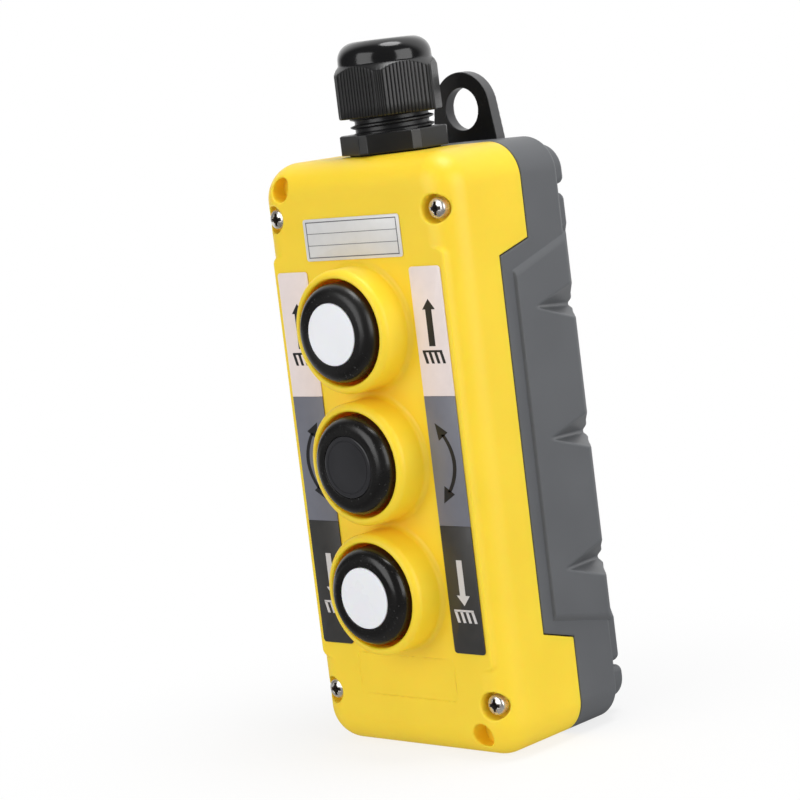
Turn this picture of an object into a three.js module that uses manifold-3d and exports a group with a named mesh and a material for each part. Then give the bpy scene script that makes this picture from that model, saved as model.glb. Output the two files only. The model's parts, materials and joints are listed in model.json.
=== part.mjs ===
// Three-button pendant control station: two-part enclosure, push buttons with
// contact blocks, hanging lug and cable gland.
// Units are millimetres, +Z is up along the pendant, +X is to the operator's
// right and -Y faces the operator. The origin is on the bottom end face, in the
// middle of the width. A depth is a distance behind the front panel, along +Y.

import * as THREE from 'three';
import ManifoldModule from 'manifold-3d';

const manifold = await ManifoldModule();
manifold.setup();

// ---------------------------------------------------------------- shared dimensions
const PANEL_Y = -20;              // front panel plane
const BODY_HALF_WIDTH = 32;
const BODY_HEIGHT = 147;
const CORNER_RADIUS = 9;          // seen from the front
const WALL = 3;
const BACK_DEPTH = 44.5;          // back face of the rear cover

const JOINT_DEPTH_END = 27;       // cover joint at both ends of the body
const JOINT_GAP = 0.3;            // open joint between the two covers

const BUTTON_PITCH = 32.3;
const MIDDLE_BUTTON_Z = 74;
const BUTTONS = [
  { name: 'lower', z: MIDDLE_BUTTON_Z - BUTTON_PITCH, discFinish: 'white' },
  { name: 'middle', z: MIDDLE_BUTTON_Z, discFinish: 'blackPlastic' },
  { name: 'upper', z: MIDDLE_BUTTON_Z + BUTTON_PITCH, discFinish: 'white' },
];
const BUTTON_Z = BUTTONS.map((button) => button.z);
const STEM_RADIUS = 5;
const STEM_HOLE_RADIUS = STEM_RADIUS + 0.25;
const EAR_SCREW_X = 17.5;         // screws that hold the contact blocks

const SCREW_X = 26.64;            // cover screws
const SCREW_BOTTOM_Z = 13.7;
const SCREW_TOP_Z = SCREW_BOTTOM_Z + 120;
const LUG_SCREW_Z = [124.5, 137.5];

const GLAND_DEPTH = 18.8;         // gland axis
const GLAND_HOLE_RADIUS = 10.15;

const LUG_DEPTHS = [44.9, 48.2];  // 3.3 mm plate

// ---------------------------------------------------------------- placing
const yAt = (depth) => PANEL_Y + depth;
const span = (centre, half) => [centre - half, centre + half];
// Places [x, z] at every crossing of the given columns and rows.
const grid = (columns, rows) => rows.flatMap((z) => columns.map((x) => [x, z]));

const SCREW_PLACES = grid([-SCREW_X, SCREW_X], [SCREW_BOTTOM_Z, SCREW_TOP_Z]);
const EAR_SCREW_PLACES = grid([-EAR_SCREW_X, EAR_SCREW_X], BUTTON_Z);
const LUG_SCREW_PLACES = grid([0], LUG_SCREW_Z);

// ---------------------------------------------------------------- solids
const WELD_STEPS_PER_MM = 2e4;    // vertices closer than one step are merged

// Closed solid from a geometry: vertices merged, slivers dropped, faces outward.
function solid(geometry) {
  const flat = geometry.index ? geometry.toNonIndexed() : geometry;
  const source = flat.getAttribute('position');
  const indexOfKey = new Map();
  const corners = [];
  const weld = (i) => {
    const corner = new THREE.Vector3().fromBufferAttribute(source, i);
    const key = corner.toArray().map((value) => Math.round(value * WELD_STEPS_PER_MM)).join();
    if (!indexOfKey.has(key)) {
      indexOfKey.set(key, corners.length);
      corners.push(corner);
    }
    return indexOfKey.get(key);
  };

  const triangles = [];
  let volume = 0;
  const normal = new THREE.Vector3();
  for (let i = 0; i < source.count; i += 3) {
    const triangle = [weld(i), weld(i + 1), weld(i + 2)];
    if (new Set(triangle).size < 3) continue;
    triangles.push(triangle);
    const [first, second, third] = triangle.map((index) => corners[index]);
    volume += first.dot(normal.crossVectors(second, third));
  }
  if (volume < 0) triangles.forEach((triangle) => triangle.reverse());

  return new manifold.Manifold(new manifold.Mesh({
    numProp: 3,
    vertProperties: new Float32Array(corners.flatMap((corner) => corner.toArray())),
    triVerts: new Uint32Array(triangles.flat()),
  }));
}

const join = (first, ...rest) => rest.reduce((sum, body) => sum.add(body), first);
const cut = (first, ...rest) => rest.reduce((left, body) => left.subtract(body), first);

// Adds k mm of depth for every millimetre downwards; nothing moves at zFixed.
const lean = (body, k, zFixed) => body.transform(
  [1, 0, 0, 0, 0, 1, 0, 0, 0, -k, 1, 0, 0, k * zFixed, 0, 1]);

const vector2 = ([x, y]) => new THREE.Vector2(x, y);

function extrude(outline, length) {
  return new THREE.ExtrudeGeometry(new THREE.Shape(outline.map(vector2)), {
    depth: length, bevelEnabled: false, steps: 1,
  });
}

// Counter-clockwise rounded rectangle of [x, z] points.
function roundRect(halfWidth, [bottom, top], radius, segments, options = {}) {
  const { topRadius = radius, xCentre = 0 } = options;
  const points = [];
  const corner = (x, z, cornerRadius, startAngle) => {
    for (let i = 0; i <= segments; i++) {
      const angle = startAngle + (i / segments) * Math.PI / 2;
      points.push([
        xCentre + x + cornerRadius * Math.cos(angle),
        z + cornerRadius * Math.sin(angle),
      ]);
    }
  };
  corner(halfWidth - radius, bottom + radius, radius, -Math.PI / 2);
  corner(halfWidth - topRadius, top - topRadius, topRadius, 0);
  corner(-halfWidth + topRadius, top - topRadius, topRadius, Math.PI / 2);
  corner(-halfWidth + radius, bottom + radius, radius, Math.PI);
  return points;
}

// Outline of the enclosure seen from the front, moved inwards by inset.
const bodyOutline = (inset, segments) => roundRect(
  BODY_HALF_WIDTH - inset, [inset, BODY_HEIGHT - inset], CORNER_RADIUS - inset, segments);

// Outline of [x, z] points, extruded over a range of depth.
function plate(outline, [from, to]) {
  const geometry = extrude(outline, to - from);
  geometry.rotateX(Math.PI / 2);
  geometry.translate(0, yAt(to), 0);
  return solid(geometry);
}

// The same with the edges of both faces bevelled: inset across, depth along Y.
function softPlate(outline, [from, to], { inset, depth, segments }) {
  const geometry = new THREE.ExtrudeGeometry(new THREE.Shape(outline.map(vector2)), {
    depth: to - from - 2 * depth, steps: 1, bevelEnabled: true,
    bevelSize: inset, bevelOffset: -inset, bevelThickness: depth,
    bevelSegments: segments,
  });
  geometry.rotateX(Math.PI / 2);
  geometry.translate(0, yAt(to - depth), 0);
  return solid(geometry);
}

// Outline of [depth, z] points, extruded along X to both sides of the middle.
function sidePrism(outline, halfWidth) {
  const geometry = extrude(outline.map(([depth, z]) => [yAt(depth), z]), 2 * halfWidth);
  geometry.rotateX(Math.PI / 2);
  geometry.rotateZ(Math.PI / 2);
  geometry.translate(-halfWidth, 0, 0);
  return solid(geometry);
}

// Outline of [x, depth] points, extruded along Z.
function upright(outline, [from, to]) {
  const geometry = extrude(outline.map(([x, depth]) => [x, yAt(depth)]), to - from);
  geometry.translate(0, 0, from);
  return solid(geometry);
}

// Turned body about an axis along Y; profile of [radius, depth].
function turnedY(profile, [x, z], segments) {
  const points = profile.map(([radius, depth]) => vector2([radius, yAt(depth)]));
  const geometry = new THREE.LatheGeometry(points, segments);
  geometry.translate(x, 0, z);
  return solid(geometry);
}

// Turned body about the gland's axis; profile of [radius, z].
function turnedZ(profile, segments) {
  const geometry = new THREE.LatheGeometry(profile.map(vector2), segments);
  geometry.rotateX(Math.PI / 2);
  geometry.translate(0, yAt(GLAND_DEPTH), 0);
  return solid(geometry);
}

const rodProfile = (radius, [from, to]) => [[0, from], [radius, from], [radius, to], [0, to]];
const rodY = (radius, depths, place, segments) =>
  turnedY(rodProfile(radius, depths), place, segments);
const rodsY = (radius, depths, places, segments) =>
  places.map((place) => rodY(radius, depths, place, segments));
const rodZ = (radius, heights, segments = 24) => turnedZ(rodProfile(radius, heights), segments);

function block([left, right], [near, far], [bottom, top]) {
  const geometry = new THREE.BoxGeometry(right - left, far - near, top - bottom);
  geometry.translate((left + right) / 2, yAt((near + far) / 2), (bottom + top) / 2);
  return solid(geometry);
}

// ---------------------------------------------------------------- materials
const FINISHES = {
  yellow: { color: 0xfad63c, roughness: 0.42, metalness: 0 },
  grey: { color: 0x5f6165, roughness: 0.5, metalness: 0 },
  blackPlastic: { color: 0x1a1a1c, roughness: 0.4, metalness: 0 },
  blackSteel: { color: 0x1c1c1c, roughness: 0.5, metalness: 0.3 },
  rubber: { color: 0x202022, roughness: 0.8, metalness: 0 },
  white: { color: 0xececec, roughness: 0.4, metalness: 0 },
  silver: { color: 0xcdcfd4, roughness: 0.35, metalness: 0.6 },
  legend: { color: 0x8a8a90, roughness: 0.5, metalness: 0 },
  nickel: { color: 0xd8d6d0, roughness: 0.22, metalness: 1 },
  brass: { color: 0xc9a24a, roughness: 0.3, metalness: 1 },
  steel: { color: 0xb8babd, roughness: 0.3, metalness: 1 },
  phenolic: { color: 0x2b2a28, roughness: 0.6, metalness: 0 },
};

const pendant = new THREE.Group();

function add(name, body, finish) {
  const { vertProperties, triVerts } = body.getMesh();
  const geometry = new THREE.BufferGeometry();
  geometry.setAttribute('position', new THREE.Float32BufferAttribute(vertProperties, 3));
  geometry.setIndex(new THREE.Uint32BufferAttribute(triVerts, 1));
  geometry.computeVertexNormals();
  const mesh = new THREE.Mesh(geometry, new THREE.MeshStandardMaterial(FINISHES[finish]));
  mesh.name = name;
  pendant.add(mesh);
}

// ---------------------------------------------------------------- cover joint
const JOINT_DEPTH_GRIP = 16;      // joint depth along the grip
// z where each sloping step of the joint meets the end depth and the grip depth
const TOP_STEP = { endZ: 123.4, gripZ: 120.4 };
const BOTTOM_STEP = { endZ: 24.6, gripZ: 27.9 };
const COLLAR_RADIUS = 11.5;       // collar of the front cover round the gland

// [depth, z] corners of the joint from bottom to top, moved by offset towards the rear cover.
function jointLine(offset) {
  const step = ({ endZ, gripZ }, sign) => {
    const depthRun = JOINT_DEPTH_END - JOINT_DEPTH_GRIP;
    const zRun = endZ - gripZ;
    const length = Math.hypot(depthRun, zRun);
    const normalDepth = sign * zRun / length;
    const normalZ = -sign * depthRun / length;
    const shift = offset * (normalZ + (1 - normalDepth) * zRun / depthRun);
    return [[JOINT_DEPTH_END + offset, endZ + shift], [JOINT_DEPTH_GRIP + offset, gripZ + shift]];
  };
  return [
    [JOINT_DEPTH_END + offset, -10],
    ...step(BOTTOM_STEP, -1),
    ...step(TOP_STEP, 1).reverse(),
    [JOINT_DEPTH_END + offset, 165],
  ];
}

// Space in front of the joint.
const frontSide = () => join(
  sidePrism([[-40, -10], ...jointLine(0), [-40, 165]], 60),
  rodZ(COLLAR_RADIUS, [141, 149]));
// Space behind the joint, starting offset behind it.
const rearSide = (offset) => cut(
  sidePrism([...jointLine(offset), [90, 165], [90, -10]], 60),
  rodZ(COLLAR_RADIUS + offset, [140, 170]));

// ---------------------------------------------------------------- front cover
const FRONT_FILLET = 8;           // between panel and sides
const POST_RADIUS = 4.3;          // posts round the cover screws, in both covers
const BOSS_BORE_RADIUS = 13.05;
const DIMPLE_PLACES = [[-23.4, 140.9], [22.5, 6.1]];
const WINGS = { halfWidth: 28.5, heights: [22.7, 124.3] };   // panel behind the legends

// [radius, depth]
const BOSS_PROFILE = [
  [0, 2], [16.6, 2], [16.6, 0], [15.4, -1.2], [14.95, -7.8], [14.2, -8.9], [0, -8.9],
];

function frontCover() {
  const shell = softPlate(bodyOutline(0, 4), [0, 60],
    { inset: FRONT_FILLET, depth: FRONT_FILLET, segments: 3 });
  const wings = softPlate(roundRect(WINGS.halfWidth, WINGS.heights, 1.2, 2), [0, 8],
    { inset: 0.6, depth: 0.6, segments: 1 });
  const bosses = BUTTON_Z.map((z) => turnedY(BOSS_PROFILE, [0, z], 24));
  const innerFillet = FRONT_FILLET - WALL;
  const cavity = softPlate(bodyOutline(WALL, 3), [WALL, 60],
    { inset: innerFillet, depth: innerFillet, segments: 2 });
  const hollowCover = cut(join(shell, wings, ...bosses).intersect(frontSide()), cavity);

  const posts = join(
    ...rodsY(POST_RADIUS, [1.5, JOINT_DEPTH_END], SCREW_PLACES, 12),
    ...rodsY(4.4, [1.5, 8], DIMPLE_PLACES, 12));
  const withPosts = join(hollowCover, posts.intersect(shell),
    ...rodsY(3.1, [2, 8], EAR_SCREW_PLACES, 8));

  const buttonPlaces = grid([0], BUTTON_Z);
  const shallowRecess = plate(roundRect(16, [14, 24.5], 0.8, 1), [-1, 0.2]);
  return cut(withPosts,
    ...rodsY(3.5, [-2, 4], SCREW_PLACES, 18),
    ...rodsY(1.8, [3, 30], SCREW_PLACES, 10),
    ...rodsY(3, [-2, 5], DIMPLE_PLACES, 16),
    ...rodsY(BOSS_BORE_RADIUS, [-12, 0.4], buttonPlaces, 24),
    ...rodsY(STEM_HOLE_RADIUS, [0, 4], buttonPlaces, 16),
    ...rodsY(1.65, [1.4, 9], EAR_SCREW_PLACES, 8),
    rodZ(GLAND_HOLE_RADIUS, [138, 150]),
    shallowRecess);
}
add('front_cover', frontCover(), 'yellow');

// ---------------------------------------------------------------- rear cover
const SIDE_EDGE_DEPTH = 40.5;     // where the sides turn into the back, by a chamfer
const BACK_LEAN = 0.005;          // the back wall gets deeper towards the bottom
const PAD_LEAN = 0.0105;          // and so do the pads and the grip
const PAD_DEPTH = 48.2;           // raised back pads, at PAD_Z
const PAD_Z = 128;

const GRIP_HALF_WIDTH = 33;
const GRIP_Z = 108;               // where the grip section has its nominal depth
const GRIP_DIAGONAL = 73.8;       // x + depth on the 45 degree faces, at GRIP_Z
const GRIP_EDGE = { radius: 2.5, segments: 2 };
// [depth, z] limits of the grip seen from the side
const GRIP_SIDE_VIEW = [
  [19, 30.45], [40.5, 25.65], [50, 23.6], [50, 125.5], [40.5, 122.7], [19, 116.1],
];

function raisedPad(outline, inset) {
  const pad = softPlate(outline, [40, PAD_DEPTH], { inset, depth: 1.6, segments: 2 });
  return lean(pad, PAD_LEAN, PAD_Z);
}

// Chamfered front edge of the grip section, left to right, as [x, depth].
const gripFrontEdge = (shift) => [
  [-GRIP_HALF_WIDTH, 20.6 + shift], [-31.5, 19.4 + shift],
  [31.5, 19.4 + shift], [GRIP_HALF_WIDTH, 20.6 + shift],
];

// Grip: flat sides that turn by 45 degree faces into the back.
function gripBody() {
  const { radius, segments } = GRIP_EDGE;
  const arcX = GRIP_HALF_WIDTH - radius;
  const arcDepth = GRIP_DIAGONAL - arcX - radius * Math.SQRT2;
  const rightSide = [];
  for (let i = 0; i <= segments; i++) {
    const angle = (i / segments) * Math.PI / 4;
    rightSide.push([arcX + radius * Math.cos(angle), arcDepth + radius * Math.sin(angle)]);
  }
  // level with the back pad once both lean
  const backDepth = PAD_DEPTH + PAD_LEAN * (PAD_Z - GRIP_Z);
  rightSide.push([GRIP_DIAGONAL - backDepth, backDepth]);
  const leftSide = rightSide.map(([x, depth]) => [-x, depth]).reverse();

  // The section starts too far forward, so that its front edge stays upright
  // when it is trimmed after leaning.
  const section = [...rightSide, ...leftSide, ...gripFrontEdge(-5)];
  const trim = [...gripFrontEdge(0), [33.5, 60], [-33.5, 60]];
  return lean(upright(section, [20, 130]), PAD_LEAN, GRIP_Z)
    .intersect(upright(trim, [15, 135]))
    .intersect(sidePrism(GRIP_SIDE_VIEW, 40));
}

// Facet normals of a finger notch on the +X side.
const NOTCH_UPPER_NORMAL = new THREE.Vector3(0.676, 0.184, -0.714).normalize();
const NOTCH_LOWER_NORMAL = new THREE.Vector3(0.465, 0.269, 0.844).normalize();
const NOTCH_DEPTH = 25.3;         // where the valley crosses the side of the grip
const NOTCH_RISE = 0.3;           // above the button centre
const NOTCH_REACH = 24;           // width of each facet of the cutter
const NOTCH_VALLEY_ENDS = [-8, 30];

// Cutter for a finger notch, side +1 or -1: a wedge with two flat facets that
// meet in a valley running inward towards the back.
function notchWedge(side, z) {
  const valley = new THREE.Vector3().crossVectors(NOTCH_LOWER_NORMAL, NOTCH_UPPER_NORMAL);
  valley.normalize();
  const upward = new THREE.Vector3().crossVectors(NOTCH_UPPER_NORMAL, valley).normalize();
  const downward = new THREE.Vector3().crossVectors(valley, NOTCH_LOWER_NORMAL).normalize();
  const start = new THREE.Vector3(GRIP_HALF_WIDTH, yAt(NOTCH_DEPTH), z);
  const corners = NOTCH_VALLEY_ENDS.flatMap((along) => {
    const base = start.clone().addScaledVector(valley, along);
    return [
      base,
      base.clone().addScaledVector(upward, NOTCH_REACH),
      base.clone().addScaledVector(downward, NOTCH_REACH),
    ];
  });
  const triangles = [
    [0, 2, 1], [3, 4, 5],
    [0, 1, 4], [0, 4, 3], [1, 2, 5], [1, 5, 4], [2, 0, 3], [2, 3, 5],
  ];
  const positions = triangles.flat().flatMap(
    (i) => [side * corners[i].x, corners[i].y, corners[i].z]);
  const geometry = new THREE.BufferGeometry();
  geometry.setAttribute('position', new THREE.Float32BufferAttribute(positions, 3));
  return solid(geometry);
}

// Band along the body outline between two insets.
const rimBand = (outerInset, innerInset) => cut(
  plate(bodyOutline(outerInset, 4), [-30, 60]),
  plate(bodyOutline(innerInset, 4), [-40, 70]));
// The part of that band between two offsets behind the joint.
const rimStrip = (insets, [from, to]) =>
  rimBand(...insets).intersect(cut(rearSide(from), rearSide(to)));

function rearCover() {
  const chamferedShell = softPlate(bodyOutline(0, 4), [-20, BACK_DEPTH],
    { inset: 4, depth: BACK_DEPTH - SIDE_EDGE_DEPTH, segments: 1 });
  const shell = lean(chamferedShell, BACK_LEAN, 130);
  const outside = join(
    shell,
    raisedPad(roundRect(27.8, [12.9, 132.25], 2, 1), 1.6),
    raisedPad(roundRect(28.2, [134.3, 144.5], 1.8, 3, { topRadius: 6.5 }), 1.3),
    raisedPad(roundRect(28.2, [2.9, 11.9], 6, 3, { topRadius: 1.8 }), 1.3),
    gripBody());
  const notches = grid([1, -1], BUTTON_Z).map(([side, z]) => notchWedge(side, z + NOTCH_RISE));

  // The walls are thicker at the sides, where the finger notches run in.
  const cavity = softPlate(
    roundRect(27.6, [WALL, BODY_HEIGHT - WALL], CORNER_RADIUS - WALL, 3),
    [-20, BACK_DEPTH - WALL], { inset: 5, depth: 8, segments: 3 });
  const hollowCover = cut(cut(outside, ...notches).intersect(rearSide(JOINT_GAP)), cavity);

  const postEnd = BACK_DEPTH - 1.5;
  const posts = join(
    ...rodsY(POST_RADIUS, [JOINT_DEPTH_END + JOINT_GAP, postEnd], SCREW_PLACES, 12),
    ...rodsY(4.6, [33, postEnd], LUG_SCREW_PLACES, 12));
  const lugSlot = block(span(0, 10.9), [LUG_DEPTHS[0] - 0.1, 60], [117.6, 170]);
  const gasketGroove = rimStrip([0.8, 2.2], [-0.1, 1.35]);
  return cut(join(hollowCover, posts.intersect(shell)),
    lugSlot,
    ...rodsY(1.7, [20, 40], SCREW_PLACES, 10),
    ...rodsY(2.25, [34.5, 60], LUG_SCREW_PLACES, 10),
    gasketGroove);
}
add('rear_cover', rearCover(), 'grey');
add('cover_gasket', rimStrip([0.95, 2.05], [0.06, 1.25]), 'rubber');

// ---------------------------------------------------------------- cover and lug screws
// [radius, depth]
const COVER_SCREW_PROFILE = [
  [0, 1.8], [1.9, 1.85], [2.6, 2.35], [2.8, 3.0], [2.8, 3.9],
  [1.45, 3.9], [1.45, 38], [0.7, 38.8], [0, 38.8],
];
const LUG_SCREW_PROFILE = [
  [0, 36], [1.3, 36], [1.95, 36.8], [1.95, 46.05], [3.95, 48.05], [0, 48.05],
];

// Screw with a cross recess; reach and halfWidth are the size of its arms.
function crossScrew(profile, [x, z], { reach, halfWidth, depths }) {
  return cut(turnedY(profile, [x, z], 10),
    block(span(x, reach), depths, span(z, halfWidth)),
    block(span(x, halfWidth), depths, span(z, reach)));
}

for (const [row, z] of [['top', SCREW_TOP_Z], ['bottom', SCREW_BOTTOM_Z]]) {
  for (const [side, x] of [['left', -SCREW_X], ['right', SCREW_X]]) {
    const recess = { reach: 1.6, halfWidth: 0.3, depths: [0, 3.1] };
    add(`cover_screw_${row}_${side}`, crossScrew(COVER_SCREW_PROFILE, [x, z], recess), 'nickel');
  }
}

// ---------------------------------------------------------------- hanging lug
const EYE = { z: 155, radius: 5.33 };
const LUG_HEAD = { radius: 9.3, startDegrees: 8.5, segments: 14 };
// [x, z], clockwise seen from behind: left edge, bottom corners, right edge
const LUG_TAIL = [
  [-10.54, 147.4], [-10.54, 120], [-9.9, 118.6], [-8.5, 118],
  [8.5, 118], [9.9, 118.6], [10.54, 120], [10.54, 147.4],
];
// [radius, depth]
const COUNTERSINK_PROFILE = [
  [0, 44], [2.25, 44], [2.25, 46.1], [4.35, 48.2], [4.35, 50], [0, 50],
];

function hangingLug() {
  const { radius, startDegrees, segments } = LUG_HEAD;
  const start = THREE.MathUtils.degToRad(startDegrees);
  const head = [];
  for (let i = 0; i <= segments; i++) {
    const angle = start + (i / segments) * (Math.PI - 2 * start);
    head.push([radius * Math.cos(angle), EYE.z + radius * Math.sin(angle)]);
  }
  return cut(plate([...head, ...LUG_TAIL], LUG_DEPTHS),
    rodY(EYE.radius, [40, 55], [0, EYE.z], 20),
    ...LUG_SCREW_PLACES.map((place) => turnedY(COUNTERSINK_PROFILE, place, 12)));
}
add('hanging_lug', hangingLug(), 'blackSteel');

for (const [name, z] of [['upper', LUG_SCREW_Z[1]], ['lower', LUG_SCREW_Z[0]]]) {
  const recess = { reach: 2, halfWidth: 0.35, depths: [46.9, 50] };
  add(`lug_screw_${name}`, crossScrew(LUG_SCREW_PROFILE, [0, z], recess), 'nickel');
}

// ---------------------------------------------------------------- labels
const LEGEND_X = 22.1;

const label = (halfWidth, heights, xCentre) =>
  plate(roundRect(halfWidth, heights, 0.7, 2, { xCentre }), [-0.35, -0.05]);
add('rating_plate', label(16, [123, 133.3], 0), 'silver');
add('legend_strip_left', label(5, [26.5, 120.5], -LEGEND_X), 'legend');
add('legend_strip_right', label(5, [26.5, 120.5], LEGEND_X), 'legend');

// ---------------------------------------------------------------- push buttons
const CAP_RADIUS = 12.05;
const DISC_RADIUS = 7.65;
const TERMINAL_X = 9.4;
const CONTACT_HALF_HEIGHT = 2.6;
const CONTACT_SLOT_HALF_HEIGHT = 2.9;

// Profiles of [radius, depth].
// Cap: skirt, rounded shoulder and a hub for the stem
const CAP_PROFILE = [
  [0, -11.1], [9.5, -11.1], [11.3, -10.2], [CAP_RADIUS, -8.6], [CAP_RADIUS, -4.2],
  [10.9, -4.2], [10.9, -8.5], [6.8, -8.5], [6.8, -5], [5.25, -5], [5.25, -8.5], [0, -8.5],
];
// Stem with the stop flange behind the block's front wall
const PLUNGER_PROFILE = [
  [0, -8.4], [STEM_RADIUS, -8.4], [STEM_RADIUS, 10], [6.3, 10], [6.3, 12],
  [STEM_RADIUS, 12], [STEM_RADIUS, 17], [2, 17], [2, 20.5], [0, 20.5],
];
// Wiper seal in the floor of the boss
const SEAL_PROFILE = [
  [5.3, 0.3], [10.4, 0.3], [10.4, -0.4], [6.3, -0.4], [5.9, -0.8], [5.3, -0.8], [5.3, 0.3],
];
const TERMINAL_SCREW_PROFILE = [
  [0, 23], [1.5, 23], [1.5, 29.35], [2.7, 29.35], [2.7, 31.2], [0, 31.2],
];
const BLOCK_SCREW_PROFILE = [
  [0, 2.2], [1.4, 2.2], [1.4, 10.85], [2.35, 10.85], [2.35, 12.7], [0, 12.7],
];

// Outlines of [x, depth].
const BRIDGE_OUTLINE = [
  [-11.4, 13.6], [11.4, 13.6], [11.4, 14.4], [10.7, 14.4], [10.4, 14.9], [8.6, 14.9],
  [8.3, 14.4], [-8.3, 14.4], [-8.6, 14.9], [-10.4, 14.9], [-10.7, 14.4], [-11.4, 14.4],
];
const RIGHT_CONTACT_OUTLINE = [
  [7.5, 19.6], [8.3, 19.6], [8.6, 19.1], [10.4, 19.1], [10.7, 19.6], [13.0, 19.6],
  [13.0, 29.2], [6.3, 29.2], [6.3, 28.4], [12.2, 28.4], [12.2, 20.4], [7.5, 20.4],
];

const buttonCap = (z) => cut(turnedY(CAP_PROFILE, [0, z], 24),
  rodY(DISC_RADIUS + 0.1, [-13, -10.15], [0, z], 24));

const buttonDisc = (z) => rodY(DISC_RADIUS, [-11.15, -10.2], [0, z], 24);

// The window through the stem carries the contact bridge.
const plunger = (z) => cut(turnedY(PLUNGER_PROFILE, [0, z], 16),
  block(span(0, 9), [13.4, 14.6], span(z, CONTACT_SLOT_HALF_HEIGHT)));

function fixedContact(sign, z) {
  const outline = RIGHT_CONTACT_OUTLINE.map(([x, depth]) => [sign * x, depth]);
  return cut(upright(outline, span(z, CONTACT_HALF_HEIGHT)),
    rodY(1.8, [27, 31], [sign * TERMINAL_X, z], 8));
}

// Screw with one slot across its head, cut over the given depths.
const slotScrew = (profile, [x, z], slotDepths) => cut(turnedY(profile, [x, z], 8),
  block(span(x, 3.7), slotDepths, span(z, 0.3)));

// Contact block housing with two fixing ears.
function contactBlock(z) {
  const halfWidth = 15;
  const halfHeight = 12.8;
  const wall = 1.5;
  const outside = join(
    block(span(0, halfWidth), [8.2, 28.2], span(z, halfHeight)),
    block(span(0, 20.6), [8.2, 10.7], span(z, 4)));
  const sideCuts = [-1, 1].flatMap((sign) => [
    rodY(1.75, [7, 12], [sign * EAR_SCREW_X, z], 8),
    rodY(1.8, [26, 30], [sign * TERMINAL_X, z], 8),
    block(span(sign * 12.6, 0.7), [26, 30], span(z, CONTACT_SLOT_HALF_HEIGHT)),
  ]);
  return cut(outside,
    block(span(0, halfWidth - wall), [9.8, 26.8], span(z, halfHeight - wall)),
    rodY(STEM_HOLE_RADIUS, [7, 11], [0, z], 16),
    ...sideCuts);
}

// Return spring between the stem's shoulder and the back of the block.
const SPRING = { turns: 5, coilRadius: 3.6, wireRadius: 0.42, depths: [17.1, 26.7] };

class Coil extends THREE.Curve {
  constructor(z) {
    super();
    this.z = z;
  }

  getPoint(t, target = new THREE.Vector3()) {
    const { turns, coilRadius, wireRadius, depths } = SPRING;
    const angle = t * turns * 2 * Math.PI;
    const from = depths[0] + wireRadius;
    const to = depths[1] - wireRadius;
    return target.set(
      coilRadius * Math.cos(angle),
      yAt(from + (to - from) * t),
      this.z + coilRadius * Math.sin(angle));
  }
}

function returnSpring(z) {
  const wire = [];
  for (let i = 0; i < 4; i++) {
    const angle = i * Math.PI / 2;
    wire.push(vector2([SPRING.wireRadius * Math.cos(angle), SPRING.wireRadius * Math.sin(angle)]));
  }
  return solid(new THREE.ExtrudeGeometry(new THREE.Shape(wire), {
    extrudePath: new Coil(z), steps: SPRING.turns * 8, bevelEnabled: false,
  }));
}

for (const { name, z, discFinish } of BUTTONS) {
  add(`button_cap_${name}`, buttonCap(z), 'blackPlastic');
  add(`button_disc_${name}`, buttonDisc(z), discFinish);
  add(`plunger_${name}`, plunger(z), 'blackPlastic');
  add(`button_seal_${name}`, turnedY(SEAL_PROFILE, [0, z], 16), 'rubber');
  add(`contact_bridge_${name}`, upright(BRIDGE_OUTLINE, span(z, CONTACT_HALF_HEIGHT)), 'brass');
  for (const [side, sign] of [['left', -1], ['right', 1]]) {
    add(`fixed_contact_${name}_${side}`, fixedContact(sign, z), 'brass');
    add(`terminal_screw_${name}_${side}`,
      slotScrew(TERMINAL_SCREW_PROFILE, [sign * TERMINAL_X, z], [30.5, 33]), 'nickel');
    add(`block_screw_${name}_${side}`,
      slotScrew(BLOCK_SCREW_PROFILE, [sign * EAR_SCREW_X, z], [11.9, 14]), 'nickel');
  }
  add(`contact_block_${name}`, contactBlock(z), 'phenolic');
  add(`return_spring_${name}`, returnSpring(z), 'steel');
}

// ---------------------------------------------------------------- cable gland
const SPANNER_SIZE = 24;
const THREAD = { ridges: 3, pitch: 2, startZ: 152.9, rootRadius: 9.25, crestRadius: 10.3 };

// Profiles of [radius, z].
const WASHER_PROFILE = [
  [10.2, BODY_HEIGHT + 0.05], [11.2, BODY_HEIGHT + 0.05],
  [11.2, BODY_HEIGHT + 0.35], [10.2, BODY_HEIGHT + 0.35], [10.2, BODY_HEIGHT + 0.05],
];
const SEAL_INSERT_PROFILE = [
  [4.7, 156.2], [6.7, 156.2], [6.85, 157], [6.85, 166.2], [4.7, 166.2], [4.7, 156.2],
];
const THRUST_RING_PROFILE = [[5.4, 168], [8.7, 168], [8.4, 169.1], [5.4, 169.1], [5.4, 168]];
const DOME_PROFILE = [
  [0, 155], [16, 155], [16, 164.2], [11.6, 169], [11.4, 171.2],
  [10.1, 173.5], [7.6, 174.6], [0, 174.6],
];
const DOME_HOLLOW_PROFILE = [
  [0, 150], [10.45, 150], [10.45, 166.5], [9.2, 169.3], [9.2, 169.6],
  [6.3, 172.5], [6.3, 180], [0, 180],
];

// Hexagon about the gland's axis, its corners cut off at cornerRadius.
// One flat faces the direction flatDegrees from +X.
function hexPrism(acrossFlats, cornerRadius, heights, flatDegrees) {
  const halfFlat = Math.acos(acrossFlats / 2 / cornerRadius);
  const points = [];
  for (let i = 0; i < 6; i++) {
    const middle = THREE.MathUtils.degToRad(flatDegrees) + i * Math.PI / 3;
    for (const angle of span(middle, halfFlat)) {
      points.push([
        cornerRadius * Math.cos(angle),
        GLAND_DEPTH + cornerRadius * Math.sin(angle),
      ]);
    }
  }
  return upright(points, heights);
}

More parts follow.
